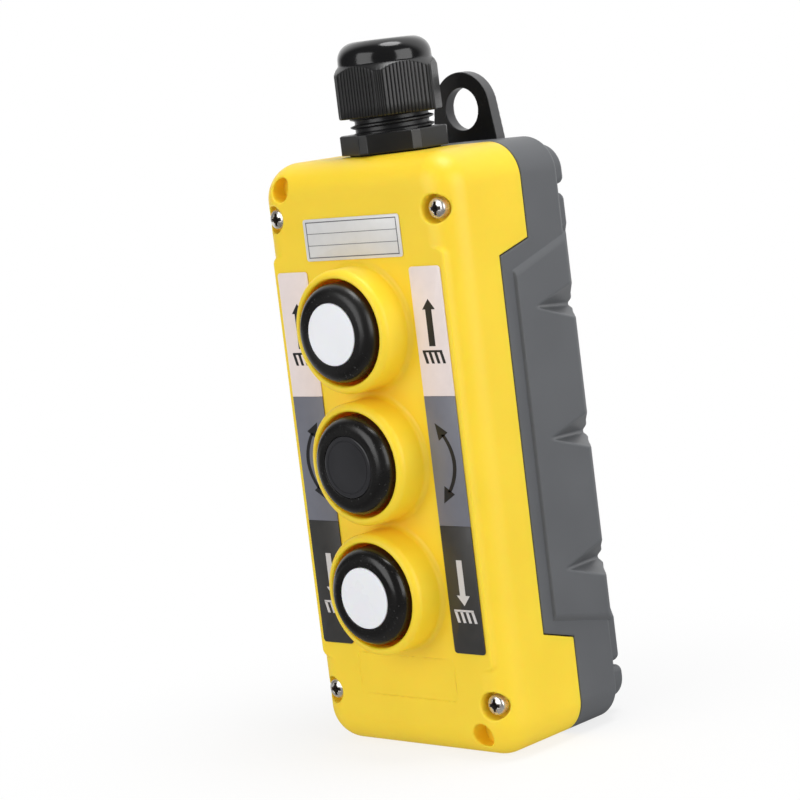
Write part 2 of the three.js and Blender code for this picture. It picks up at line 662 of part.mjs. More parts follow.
function glandBody() {
  const { ridges, pitch, startZ, rootRadius, crestRadius } = THREAD;
  const profile = [[6, 136.5], [9.85, 136.5], [9.85, 148], [9.85, 152.1], [rootRadius, 152.1]];
  for (let i = 0; i < ridges; i++) {
    const z = startZ + pitch * i;
    profile.push([rootRadius, z], [crestRadius, z + 0.7], [rootRadius, z + 1.4]);
  }
  profile.push([rootRadius, 161], [8.9, 161], [8.7, 166.5], [7, 166.5],
    [7, 156], [6, 155], [6, 136.5]);
  const hexagon = hexPrism(SPANNER_SIZE, 13.2, [BODY_HEIGHT + 0.4, 152.3], -52.8);

  // Three cuts across the axis leave six slots in the top of the tube.
  const slots = [0, 1, 2].map((i) => {
    const geometry = new THREE.BoxGeometry(30, 1.2, 5);
    geometry.translate(0, 0, 164.5);
    geometry.rotateZ((i / 3) * Math.PI);
    geometry.translate(0, yAt(GLAND_DEPTH), 0);
    return solid(geometry);
  });
  return cut(join(turnedZ(profile, 20), cut(hexagon, rodZ(8, [140, 160]))), ...slots);
}

const glandLocknut = () => cut(hexPrism(22.8, 12.8, [139.4, 143.4], 90),
  rodZ(GLAND_HOLE_RADIUS, [130, 150], 20));

// Dome nut: hexagonal skirt blended into a rounded dome.
function glandDomeNut() {
  const skirt = join(hexPrism(SPANNER_SIZE, 13.4, [156.2, 169], -26), rodZ(11.6, [168, 180]));
  return cut(turnedZ(DOME_PROFILE, 24).intersect(skirt), turnedZ(DOME_HOLLOW_PROFILE, 20));
}

add('gland_washer', turnedZ(WASHER_PROFILE, 20), 'rubber');
add('gland_body', glandBody(), 'blackPlastic');
add('gland_locknut', glandLocknut(), 'blackPlastic');
add('gland_seal_insert', turnedZ(SEAL_INSERT_PROFILE, 16), 'rubber');
add('gland_thrust_ring', turnedZ(THRUST_RING_PROFILE, 16), 'blackPlastic');
add('gland_dome_nut', glandDomeNut(), 'blackPlastic');

export default pendant;
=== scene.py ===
"""A hand-held control box: a yellow front cover and grey rear cover, three round buttons on the
front, a hanging lug at the back of the top end and a cable gland on top.

X runs across the box, Z runs up it from the bottom end (z = 0), and the front faces -Y.
Shapes are written in millimetres and scaled to metres when a mesh is made. "Depth" (d) is
measured along +Y from the front panel at y = PANEL. Stage, lights and camera are in metres.
"""
import bmesh
import bpy
import functools
import json
import math
import numpy as np
from mathutils import Matrix, Vector


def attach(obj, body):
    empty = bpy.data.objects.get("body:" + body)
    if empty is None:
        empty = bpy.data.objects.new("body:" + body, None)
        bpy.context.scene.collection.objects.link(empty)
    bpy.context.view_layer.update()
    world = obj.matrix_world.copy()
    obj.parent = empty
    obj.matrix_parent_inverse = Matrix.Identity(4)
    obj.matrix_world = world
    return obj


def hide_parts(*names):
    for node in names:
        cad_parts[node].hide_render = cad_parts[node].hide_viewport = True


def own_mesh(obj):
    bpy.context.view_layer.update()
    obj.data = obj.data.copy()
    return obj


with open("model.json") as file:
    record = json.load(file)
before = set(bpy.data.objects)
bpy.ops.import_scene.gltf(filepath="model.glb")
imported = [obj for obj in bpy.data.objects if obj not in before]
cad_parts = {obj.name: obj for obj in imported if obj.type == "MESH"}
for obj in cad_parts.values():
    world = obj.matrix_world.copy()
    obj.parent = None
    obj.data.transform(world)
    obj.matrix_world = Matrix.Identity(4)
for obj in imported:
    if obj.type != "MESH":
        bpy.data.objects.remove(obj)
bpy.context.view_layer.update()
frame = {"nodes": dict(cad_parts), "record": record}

MM = 0.001
PANEL = -20.0
BUTTONS = {"lower": 41.7, "middle": 74.0, "upper": 106.3}       # z of each button
SCREW_X = 26.64
SCREWS = {"bottom_left": (-SCREW_X, 13.7), "bottom_right": (SCREW_X, 13.7),
          "top_left": (-SCREW_X, 133.7), "top_right": (SCREW_X, 133.7)}    # (x, z)
LUG_SCREWS = {"upper": 137.5, "lower": 124.5}                   # z of each screw
GLAND_Y = -1.2                                                  # the gland's axis runs along Z

# ---------------------------------------------------------------- shader nodes


def set_inputs(tree, node, inputs):
    """Sets node inputs by name or index; a socket is linked, anything else is a value."""
    for key, value in inputs.items():
        if isinstance(value, bpy.types.NodeSocket):
            tree.links.new(value, node.inputs[key])
        else:
            node.inputs[key].default_value = value


def add_node(tree, kind, inputs=None, **settings):
    """Settings come first, because they decide which sockets are available."""
    node = tree.nodes.new("ShaderNode" + kind)
    for key, value in settings.items():
        setattr(node, key, value)
    set_inputs(tree, node, inputs or {})
    return node


def map_range(tree, value, from_min, from_max, to_min=0.0, to_max=1.0, curve="LINEAR"):
    node = add_node(tree, "MapRange", {
        "Value": value, "From Min": from_min, "From Max": from_max,
        "To Min": to_min, "To Max": to_max}, interpolation_type=curve)
    return node.outputs["Result"]


def mix(tree, factor, a, b, kind="FLOAT"):
    node = add_node(tree, "Mix", {"Factor": factor, "A": a, "B": b}, data_type=kind)
    return node.outputs["Result"]


def noise(tree, coordinates, scale, detail):
    node = add_node(tree, "TexNoise", {"Vector": coordinates, "Scale": scale, "Detail": detail})
    return node.outputs["Fac"]


def new_material(name):
    material = bpy.data.materials.new(name)
    material.use_nodes = True
    tree = material.node_tree
    return material, tree, tree.nodes["Principled BSDF"]


# ------------------------------------------------------------------ materials


def surface(name, color, roughness, specular=0.5, metallic=0.0, tint=0.06, tint_scale=60.0,
            grain=0.12, grain_scale=2600.0, grain_depth=0.00002, specks=0.0,
            speck_color=(0.6, 0.6, 0.6), rough_var=0.08, coat=0.0, coat_rough=0.2,
            subsurface=0.0, scatter_radius=(0.0040, 0.0015, 0.0003)):
    """A finish with slow colour drift, uneven gloss, fine moulded grain and optional dust."""
    material, tree, bsdf = new_material(name)
    coordinates = add_node(tree, "TexCoord").outputs["Object"]
    slow = noise(tree, coordinates, scale=tint_scale, detail=3.0)
    drift = map_range(tree, slow, 0.3, 0.7, to_min=1.0 - tint, to_max=1.0 + tint)
    base = add_node(tree, "HueSaturation",
                    {"Color": (*color, 1.0), "Value": drift}).outputs["Color"]
    if specks > 0:
        dust = noise(tree, coordinates, scale=1500.0, detail=2.0)
        amount = map_range(tree, dust, 0.66, 0.74, to_max=specks)
        base = mix(tree, amount, base, (*speck_color, 1.0), kind="RGBA")
    gloss = map_range(tree, slow, 0.3, 0.7, to_min=max(0.02, roughness - rough_var),
                      to_max=min(1.0, roughness + rough_var))
    fine = noise(tree, coordinates, scale=grain_scale, detail=2.0)
    bump = add_node(tree, "Bump", {"Strength": grain, "Distance": grain_depth, "Height": fine})
    set_inputs(tree, bsdf, {
        "Base Color": base, "Roughness": gloss, "Normal": bump.outputs["Normal"],
        "Metallic": metallic, "Specular IOR Level": specular})
    if coat > 0:
        set_inputs(tree, bsdf, {"Coat Weight": coat, "Coat Roughness": coat_rough})
    if subsurface > 0:
        set_inputs(tree, bsdf, {"Subsurface Weight": subsurface,
                                "Subsurface Radius": scatter_radius, "Subsurface Scale": 1.0})
    return material


def paint_edge_sheen(material, pale):
    """Paints the edges of a plate whose faces look along Y paler than those faces: a painted
    sheen that stands in for the light the side faces catch.
    """
    tree = material.node_tree
    bsdf = tree.nodes["Principled BSDF"]
    coated = bsdf.inputs["Base Color"].links[0].from_socket
    normal = add_node(tree, "NewGeometry").outputs["Normal"]
    along_y = add_node(tree, "SeparateXYZ", {"Vector": normal}).outputs["Y"]
    facing = add_node(tree, "Math", {0: along_y}, operation="ABSOLUTE").outputs[0]
    # painted sheen: faces turned away from Y get the paler colour
    edge = map_range(tree, facing, 0.45, 0.85, to_min=1.0, to_max=0.0)
    set_inputs(tree, bsdf, {"Base Color": mix(tree, edge, coated, (*pale, 1.0), kind="RGBA")})


YELLOW_FINISH = dict(roughness=0.44, tint=0.025, grain=0.30, grain_scale=2200.0,
                     grain_depth=0.00003, rough_var=0.05)
YELLOW = surface("yellow_moulded", color=(0.985, 0.672, 0.028), subsurface=0.28,
                 **YELLOW_FINISH)
# partly painted glow: the collar walls' deeper orange base colour stands in for the light
# glowing in the gap round each cap; the stronger subsurface scattering is rendered
COLLAR = surface("yellow_collar_wall_painted_glow", color=(0.990, 0.600, 0.016), subsurface=1.0,
                 scatter_radius=(0.0052, 0.0030, 0.0004), **YELLOW_FINISH)
GREY = surface("grey_moulded", color=(0.108, 0.113, 0.121), roughness=0.50, tint=0.05,
               grain=0.5, grain_scale=2000.0, grain_depth=0.00004, rough_var=0.06)
RUBBER = surface("seal_rubber", color=(0.012, 0.012, 0.013), roughness=0.72, specular=0.35,
                 tint=0.2, grain=0.5)
NICKEL = surface("nickel_plate", color=(0.80, 0.77, 0.74), roughness=0.26, metallic=0.80,
                 tint=0.10, tint_scale=500.0, grain=0.35, grain_scale=1500.0, rough_var=0.07)
# painted shade: a dark brown finish for the faces inside the screws' cross recess, standing in
# for the shade there
RECESS_SHADE = surface("driver_recess_painted_shade", color=(0.10, 0.085, 0.075), roughness=0.42, metallic=0.6,
                 tint=0.2, grain=0.4)
LUG = surface("black_coated_plate", color=(0.011, 0.011, 0.012), roughness=0.40,
              specular=0.55, tint=0.15, grain=0.55, grain_scale=1500.0, grain_depth=0.00004,
              specks=0.25, speck_color=(0.12, 0.12, 0.12))
# painted sheen on the lug's side faces, standing in for the light they catch
paint_edge_sheen(LUG, pale=(0.085, 0.085, 0.088))
SILVER = surface("silver_foil", color=(0.72, 0.72, 0.72), roughness=0.32, metallic=0.10,
                 tint=0.02, tint_scale=400.0, grain=0.0, rough_var=0.02)
BLACK_CAP = surface("button_black_satin", color=(0.0095, 0.0090, 0.0088), roughness=0.26,
                    specular=0.48, tint=0.2, grain=0.35, grain_scale=1700.0,
                    grain_depth=0.00003, specks=0.5, speck_color=(0.10, 0.10, 0.10))
WHITE_DISC = surface("button_white", color=(0.90, 0.895, 0.925), roughness=0.32, tint=0.015,
                     grain=0.2, subsurface=0.1)
BLACK_DISC = surface("button_black_gloss", color=(0.030, 0.030, 0.033), roughness=0.16,
                     tint=0.2, grain=0.15, rough_var=0.03, coat=0.3, coat_rough=0.08)
NYLON = surface("plunger_nylon", color=(0.02, 0.02, 0.021), roughness=0.45, tint=0.1,
                grain=0.3)
BRASS = surface("contact_brass", color=(0.62, 0.42, 0.14), roughness=0.26, metallic=1.0,
                tint=0.12, tint_scale=300.0, grain=0.3)
PHENOLIC = surface("phenolic_moulding", color=(0.035, 0.032, 0.030), roughness=0.5, tint=0.2,
                   grain=0.5, specks=0.4, speck_color=(0.09, 0.08, 0.07))
STEEL = surface("spring_wire", color=(0.52, 0.53, 0.55), roughness=0.24, metallic=1.0,
                tint=0.08, tint_scale=800.0, grain=0.3)
GLAND = surface("gland_nylon", color=(0.012, 0.012, 0.0125), roughness=0.34, tint=0.15,
                grain=0.35, grain_scale=1800.0, rough_var=0.06)
GLAND_NUT = surface("gland_nut_nylon", color=(0.010, 0.010, 0.0105), roughness=0.17,
                    tint=0.15, grain=0.06, grain_scale=1800.0, rough_var=0.05)
FIELD_WHITE = surface("legend_field_white", color=(0.835, 0.735, 0.715), roughness=0.40,
                      tint=0.02, tint_scale=400.0, grain=0.2)
FIELD_GREY = surface("legend_field_grey", color=(0.166, 0.172, 0.208), roughness=0.42,
                     tint=0.03, tint_scale=400.0, grain=0.2)
FIELD_DARK = surface("legend_field_dark", color=(0.038, 0.037, 0.036), roughness=0.42,
                     tint=0.05, tint_scale=400.0, grain=0.2)
PRINT_DARK = surface("legend_print_dark", color=(0.012, 0.012, 0.014), roughness=0.42,
                     tint=0.1, grain=0.2)
PRINT_PALE = surface("legend_print_pale", color=(0.62, 0.60, 0.60), roughness=0.42,
                     tint=0.03, grain=0.2)
RULE = surface("plate_rule_print", color=(0.14, 0.14, 0.15), roughness=0.4, tint=0.05,
               grain=0.2)

# ------------------------------------------------------------- mesh utilities


def read_array(items, key, width=1, dtype=np.float64):
    values = np.empty(len(items) * width, dtype=dtype)
    items.foreach_get(key, values)
    return values.reshape(-1, width) if width > 1 else values


def shade_smooth(mesh, smooth=True):
    mesh.polygons.foreach_set("use_smooth", np.full(len(mesh.polygons), smooth))


def make_object(name, verts_mm, faces, materials, smooth=True, sharp=None, slots=None):
    """Slots is the material index of each face; sharp is an edge angle in degrees."""
    mesh = bpy.data.meshes.new(name)
    verts = np.asarray(verts_mm, dtype=np.float64) * MM
    mesh.from_pydata(verts.tolist(), [], [list(map(int, face)) for face in faces])
    mesh.update()
    for material in materials:
        mesh.materials.append(material)
    if slots is not None:
        mesh.polygons.foreach_set("material_index", np.asarray(slots, dtype=np.int32))
    shade_smooth(mesh, smooth)
    if sharp is not None:
        mesh.set_sharp_from_angle(angle=math.radians(sharp))
    mesh.update()
    ob = bpy.data.objects.new(name, mesh)
    bpy.context.scene.collection.objects.link(ob)
    return ob


def face_outward(ob, sharp=None):
    """Turns all faces of a closed mesh outwards, then marks edges over the sharp angle."""
    mesh = ob.data
    mesh.calc_loop_triangles()
    points = read_array(mesh.vertices, "co", 3)
    triangles = read_array(mesh.loop_triangles, "vertices", 3, np.int32)
    a, b, c = ((points - points.mean(axis=0))[triangles[:, k]] for k in range(3))
    if np.einsum("ij,ij->i", a, np.cross(b, c)).sum() < 0:
        mesh.flip_normals()
    mesh.update()
    if sharp is not None:
        mesh.set_sharp_from_angle(angle=math.radians(sharp))


def bevel_edges(ob, width_mm):
    bevel = ob.modifiers.new("edge", "BEVEL")
    bevel.width = width_mm * MM
    bevel.segments = 2
    bevel.limit_method = "ANGLE"
    bevel.angle_limit = math.radians(40)


def arc(centre, radius, start, end, steps):
    """Points of an arc, angles in degrees; radius is one number or a pair."""
    ru, rv = (radius, radius) if np.isscalar(radius) else radius
    angles = [math.radians(start + (end - start) * i / steps) for i in range(steps + 1)]
    return [(centre[0] + ru * math.cos(a), centre[1] + rv * math.sin(a)) for a in angles]


def lathe(name, profile, place, material, segments=128, closed=False):
    """Turned body from (radius, height) points. Place maps (radius*cos, radius*sin, height)
    to the frame. A profile that isn't closed starts and ends on the axis."""
    verts, rings, faces = [], [], []
    for radius, height in profile:
        first = len(verts)
        if radius < 1e-6:
            verts.append(place(0.0, 0.0, height))
        else:
            for k in range(segments):
                a = 2 * math.pi * k / segments
                verts.append(place(radius * math.cos(a), radius * math.sin(a), height))
        rings.append(range(first, len(verts)))
    pairs = list(zip(rings[:-1], rings[1:]))
    if closed:
        pairs.append((rings[-1], rings[0]))
    for a, b in pairs:
        for k in range(segments):
            k2 = (k + 1) % segments
            if len(a) == 1:
                faces.append((a[0], b[k2], b[k]))
            elif len(b) == 1:
                faces.append((a[k], a[k2], b[0]))
            else:
                faces.append((a[k], a[k2], b[k2], b[k]))
    ob = make_object(name, verts, faces, [material])
    face_outward(ob, sharp=32.0)
    return ob


def on_y(x, z):
    """Lathe about an axis along Y at (x, z); height is the depth behind the panel."""
    return lambda a, b, t: (x + a, PANEL + t, z + b)


def on_gland(a, b, t):
    """Lathe about the gland's axis; height is z."""
    return (a, GLAND_Y + b, t)


def prism(outline, front, back, material, bevel=0.0):
    """Loose flat piece: an (x, z) outline between two depths."""
    n = len(outline)
    verts = [(x, PANEL + d, z) for d in (front, back) for x, z in outline]
    faces = [tuple(range(n)), tuple(range(2 * n - 1, n - 1, -1))]
    faces += [(i, i + n, (i + 1) % n + n, (i + 1) % n) for i in range(n)]
    ob = make_object("loose_prism", verts, faces, [material], smooth=False)
    face_outward(ob)
    if bevel > 0:
        bevel_edges(ob, bevel)
    return ob


def merge(name, objects):
    """Joins loose pieces, with their modifiers applied, into one object."""
    verts, faces, materials, slots = [], [], [], []
    depsgraph = bpy.context.evaluated_depsgraph_get()
    for ob in objects:
        mesh = bpy.data.meshes.new_from_object(ob.evaluated_get(depsgraph))
        first = len(verts)
        verts += [tuple(v.co / MM) for v in mesh.vertices]
        local = []
        for material in mesh.materials:
            if material not in materials:
                materials.append(material)
            local.append(materials.index(material))
        for p in mesh.polygons:
            faces.append([first + i for i in p.vertices])
            slots.append(local[p.material_index])
        bpy.data.meshes.remove(mesh)
        bpy.data.objects.remove(ob)
    return make_object(name, verts, faces, materials, sharp=30, slots=slots)


def joined(a, b):
    """One mesh out of two, keeping their corner normals and the first one's materials."""
    normals = np.concatenate([read_array(m.corner_normals, "vector", 3) for m in (a, b)])
    bm = bmesh.new()
    bm.from_mesh(a)
    bm.from_mesh(b)
    out = bpy.data.meshes.new(a.name)
    bm.to_mesh(out)
    bm.free()
    for material in a.materials:
        out.materials.append(material)
    shade_smooth(out)
    # a face dropped on the way would leave the normals out of step
    if len(normals) == len(out.loops):
        out.normals_split_custom_set(normals.tolist())
    return out


def settle(ob, node, body):
    """Puts a finished piece in place of a CAD node."""
    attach(ob, body)
    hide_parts(node)


# ------------------------------------- signed distances: negative inside, in mm


def rad(u, v):
    return np.sqrt(u * u + v * v)


def overlap(*fields):
    return functools.reduce(np.maximum, fields)


def join(*fields):
    return functools.reduce(np.minimum, fields)


def box(u, v, half_u, half_v, corner):
    """Rounded rectangle about the origin."""
    a = np.abs(u) - (half_u - corner)
    b = np.abs(v) - (half_v - corner)
    return join(overlap(a, b), 0.0) + rad(overlap(a, 0.0), overlap(b, 0.0)) - corner


def round_overlap(a, b, r):
    """Intersection with its edge rounded to radius r."""
    return join(overlap(a + r, b + r), 0.0) + rad(overlap(a + r, 0.0), overlap(b + r, 0.0)) - r


def fillet_join(a, b, r):
    """Union with a fillet of radius r."""
    return overlap(join(a - r, b - r), 0.0) - rad(overlap(r - a, 0.0), overlap(r - b, 0.0)) + r


def cut(solid, hole, r=0.0):
    """Solid without the hole, the rim rounded to radius r."""
    return round_overlap(solid, -hole, r) if r > 0 else np.maximum(solid, -hole)


def rod(r, d, radius, front=-math.inf, back=math.inf):
    """Cylinder along the depth axis between two depths; r is the distance from its axis."""
    return overlap(r - radius, front - d, d - back)


def gradient(sdf, points, reach=0.02):
    """Unit gradient from four samples at the corners of a tetrahedron."""
    corners = np.array([[1, -1, -1], [-1, -1, 1], [-1, 1, -1], [1, 1, 1]], dtype=np.float64)
    slope = np.zeros_like(points)
    for corner in corners:
        slope += corner * sdf(*(points + corner * reach).T)[:, None]
    length = np.linalg.norm(slope, axis=1, keepdims=True)
    length[length == 0] = 1.0
    return slope / length


# ------------------------------------------------------------ dual contouring


def sample_field(sdf, low, count, step):
    """Field on the grid, in slabs of x that bound the memory used."""
    axes = [(low[i] + step * np.arange(count[i])).astype(np.float32) for i in range(3)]
    field = np.empty(count, dtype=np.float32)
    slab = max(1, int(4_000_000 / (count[1] * count[2])))
    y = axes[1][None, :, None]
    z = axes[2][None, None, :]
    for i in range(0, count[0], slab):
        x = axes[0][i:i + slab, None, None]
        field[i:i + slab] = np.broadcast_to(sdf(x, y, z), field[i:i + slab].shape)
    field[np.abs(field) < 1e-6] = 1e-6
    return field


def crossing_points(sdf, start, end, f0, f1):
    """Where the field is zero on each segment, from a few bracketed secant steps."""
    t0 = np.zeros(len(start))
    t1 = np.ones(len(start))
    for _ in range(3):
        t = t0 + (t1 - t0) * np.clip(f0 / (f0 - f1), 0.05, 0.95)
        f = sdf(*(start + (end - start) * t[:, None]).T)
        same = (f < 0) == (f0 < 0)
        t0 = np.where(same, t, t0)
        f0 = np.where(same, f, f0)
        t1 = np.where(same, t1, t)
        f1 = np.where(same, f1, f)
    drop = f0 - f1
    drop[drop == 0] = 1.0
    t = t0 + (t1 - t0) * np.clip(f0 / drop, 0, 1)
    return start + (end - start) * t[:, None]


def fit_vertices(points, normals, quads, count):
    """For each vertex, the point closest to the tangent planes of the crossings round it."""
    owner = quads.ravel()
    points = np.repeat(points, 4, axis=0)
    normals = np.repeat(normals, 4, axis=0)

    def total(values):
        return np.bincount(owner, values, count)

    hits = np.bincount(owner, minlength=count).astype(np.float64)
    mean = np.stack([total(points[:, k]) for k in range(3)], axis=1) / hits[:, None]
    offset = (normals * (points - mean[owner])).sum(axis=1)
    matrix = np.zeros((count, 3, 3))
    vector = np.zeros((count, 3))
    for i in range(3):
        vector[:, i] = total(normals[:, i] * offset)
        for j in range(i, 3):
            matrix[:, i, j] = matrix[:, j, i] = total(normals[:, i] * normals[:, j])
    # a mild pull to the mean settles flat areas
    matrix += np.eye(3) * (0.04 * hits)[:, None, None]
    return mean + np.linalg.solve(matrix, vector[:, :, None])[:, :, 0]


def contour(sdf, low, high, step):
    """Dual contouring of sdf over a box: vertices keep sharp edges, faces are quads."""
    low = np.asarray(low, dtype=np.float64)
    count = [int(math.ceil((b - a) / step)) + 1 for a, b in zip(low, high)]
    field = sample_field(sdf, low, count, step)
    inside = field < 0
    cells = np.array(count) - 1
    points, rings = [], []
    for axis in range(3):
        near = [slice(None)] * 3
        far = [slice(None)] * 3
        near[axis] = slice(0, -1)
        far[axis] = slice(1, None)
        start = np.argwhere(inside[tuple(near)] != inside[tuple(far)])
        b, c = (axis + 1) % 3, (axis + 2) % 3
        keep = ((start[:, b] > 0) & (start[:, b] < cells[b])
                & (start[:, c] > 0) & (start[:, c] < cells[c]))
        start = start[keep]
        end = start.copy()
        end[:, axis] += 1
        points.append(crossing_points(sdf, low + step * start, low + step * end,
                                      field[tuple(start.T)].astype(np.float64),
                                      field[tuple(end.T)].astype(np.float64)))
        ring = []
        for shift_b, shift_c in ((-1, -1), (0, -1), (0, 0), (-1, 0)):
            cell = start.copy()
            cell[:, b] += shift_b
            cell[:, c] += shift_c
            ring.append((cell[:, 0] * cells[1] + cell[:, 1]) * cells[2] + cell[:, 2])
        ring = np.stack(ring, axis=1)
        entering = ~inside[tuple(start.T)]
        ring[entering] = ring[entering][:, ::-1]
        rings.append(ring)
    points = np.concatenate(points)
    rings = np.concatenate(rings)
    used, inverse = np.unique(rings.ravel(), return_inverse=True)
    quads = inverse.reshape(rings.shape)
    verts = fit_vertices(points, gradient(sdf, points), quads, len(used))
    cell = np.stack([used // (cells[1] * cells[2]), (used // cells[2]) % cells[1],
                     used % cells[2]], axis=1)
    corner = low + step * cell
    return np.clip(verts, corner, corner + step), quads


def refine_normals(ob, sdf):
    """Corner normals from the distance field, so flats stay flat and small radii read clean."""
    mesh = ob.data
    corners = read_array(mesh.vertices, "co", 3) / MM
    corners = corners[read_array(mesh.loops, "vertex_index", dtype=np.int32)]
    face_size = read_array(mesh.polygons, "loop_total", dtype=np.int32)
    centres = read_array(mesh.polygons, "center", 3) / MM
    face_normals = read_array(mesh.polygons, "normal", 3)
    face = np.repeat(np.arange(len(mesh.polygons)), face_size)
    toward = centres[face] - corners
    length = np.linalg.norm(toward, axis=1, keepdims=True)
    length[length == 0] = 1.0
    # sample a little inside the face, off the edge itself
    samples = corners + toward / length * np.minimum(0.12, 0.3 * length)
    normals = gradient(sdf, samples, 0.03)
    bad = (normals * face_normals[face]).sum(axis=1) < 0.55
    normals[bad] = face_normals[face][bad]
    mesh.normals_split_custom_set(normals.tolist())
    mesh.update()


def sdf_object(name, sdf, low, high, step, material, keep=1.0):
    """Contoured solid; keep is the share of faces left after thinning."""
    verts, quads = contour(sdf, low, high, step)
    ob = make_object(name, verts, quads, [material])
    if keep < 1.0:
        ob.modifiers.new("thin", "DECIMATE").ratio = keep
        depsgraph = bpy.context.evaluated_depsgraph_get()
        mesh = bpy.data.meshes.new_from_object(ob.evaluated_get(depsgraph))
        ob.modifiers.clear()
        full = ob.data
        ob.data = mesh
        bpy.data.meshes.remove(full)
        mesh.name = name
        shade_smooth(mesh)
    refine_normals(ob, sdf)
    return ob


# --------------------------------------------------------------------- covers

HALF_WIDTH = 32.0
HALF_HEIGHT = 73.5              # also the z of the middle, as the covers start at z = 0
CORNER = 9.0
WALL = 3.0
CAVITY_HALF_HEIGHT = HALF_HEIGHT - WALL
CAVITY_CORNER = CORNER - WALL
JOINT_DEPTH = 16.0              # cover joint along the middle
JOINT_END_DEPTH = 27.0          # and at the top and bottom ends
JOINT_STEP = JOINT_END_DEPTH - JOINT_DEPTH
JOINT_GAP = 0.3
POST_RADIUS = 4.3               # cover screw posts
BACK_DEPTH = 48.2               # rearmost faces
SLANT = 1.41421                 # scales a 45 degree chamfer to a distance

BOSS_RADIUS = 15.2              # collar round each button
COLLAR_BORE = 13.05
COLLAR_FRONT = -8.95
STEM_HOLE = 5.25
PEG_X = 17.5                    # bored pegs inside, either side of each button
DIMPLES = ((-23.4, 140.9), (22.5, 6.1))     # (x, z) of blind holes in two corners
DIMPLE_DEPTH = 5.0

# Directions (across, depth, up) square to the upper and lower faces of the grip notches.
NOTCH_UPPER = (0.676, 0.184, -0.714)
NOTCH_LOWER = (0.465, 0.269, 0.844)


def cover_outline(x, z):
    return box(x, z - HALF_HEIGHT, HALF_WIDTH, HALF_HEIGHT, CORNER)


def joint_side(x, y, z):
    """Negative on the front cover's side of the cover joint."""
    d = y - PANEL
    # sloped steps near the ends, divided by the slope's length
    low_step = ((z - 24.6) * JOINT_STEP + (d - JOINT_END_DEPTH) * 3.3) / 11.484
    top_step = -((z - 123.4) * JOINT_STEP - (d - JOINT_END_DEPTH) * 3.0) / 11.402
    steps = overlap(d - JOINT_END_DEPTH, join(low_step, top_step))
    around_gland = overlap(rad(x, y - GLAND_Y) - 11.5, 141.0 - z)
    return join(d - JOINT_DEPTH, steps, around_gland)


def front_sdf(x, y, z):
    d = y - PANEL
    body = round_overlap(cover_outline(x, z), -d, 8.0)
    # flat face reaching nearer the sides than the body's rounded edge
    face = round_overlap(box(x, z - HALF_HEIGHT, 28.5, 50.8, 1.6), -d, 0.55)
    shell = fillet_join(body, overlap(face, d - 8.5), 0.9)
    shell = overlap(shell, -d)
    for button_z in BUTTONS.values():
        boss = round_overlap(rad(x, z - button_z) - BOSS_RADIUS, COLLAR_FRONT - d, 2.0)
        shell = fillet_join(shell, overlap(boss, d - 2.0), 1.4)
    cavity = box(x, z - HALF_HEIGHT, HALF_WIDTH - WALL, CAVITY_HALF_HEIGHT, CAVITY_CORNER)
    shell = cut(shell, round_overlap(cavity, WALL - d, 5.0))
    # posts behind the screws and dimples
    for post_x, post_z in SCREWS.values():
        post = rod(rad(x - post_x, z - post_z), d, POST_RADIUS, front=1.5)
        shell = join(shell, overlap(post, body))
    for post_x, post_z in DIMPLES:
        post = rod(rad(x - post_x, z - post_z), d, 4.4, front=1.5, back=8.0)
        shell = join(shell, overlap(post, body))
    for button_z in BUTTONS.values():
        for peg_x in (-PEG_X, PEG_X):
            r = rad(x - peg_x, z - button_z)
            shell = join(shell, rod(r, d, 3.1, front=2.0, back=8.0))
            shell = cut(shell, rod(r, d, 1.65, front=1.4, back=9.0))
        r = rad(x, z - button_z)
        shell = cut(shell, rod(r, d, COLLAR_BORE, back=0.4), 0.75)
        shell = cut(shell, r - STEM_HOLE)
    for screw_x, screw_z in SCREWS.values():
        r = rad(x - screw_x, z - screw_z)
        shell = cut(shell, rod(r, d, 3.5, back=4.0), 0.35)
        shell = cut(shell, r - 1.8)
    for dimple_x, dimple_z in DIMPLES:
        r = rad(x - dimple_x, z - dimple_z)
        shell = cut(shell, rod(r, d, 3.0, back=DIMPLE_DEPTH), 0.45)
    # shallow rectangle below the buttons
    shell = cut(shell, overlap(box(x, z - 19.25, 16.0, 5.25, 0.8), d - 0.22))
    shell = cut(shell, overlap(rad(x, y - GLAND_Y) - 10.15, 138.0 - z))
    return round_overlap(shell, joint_side(x, y, z), JOINT_GAP)


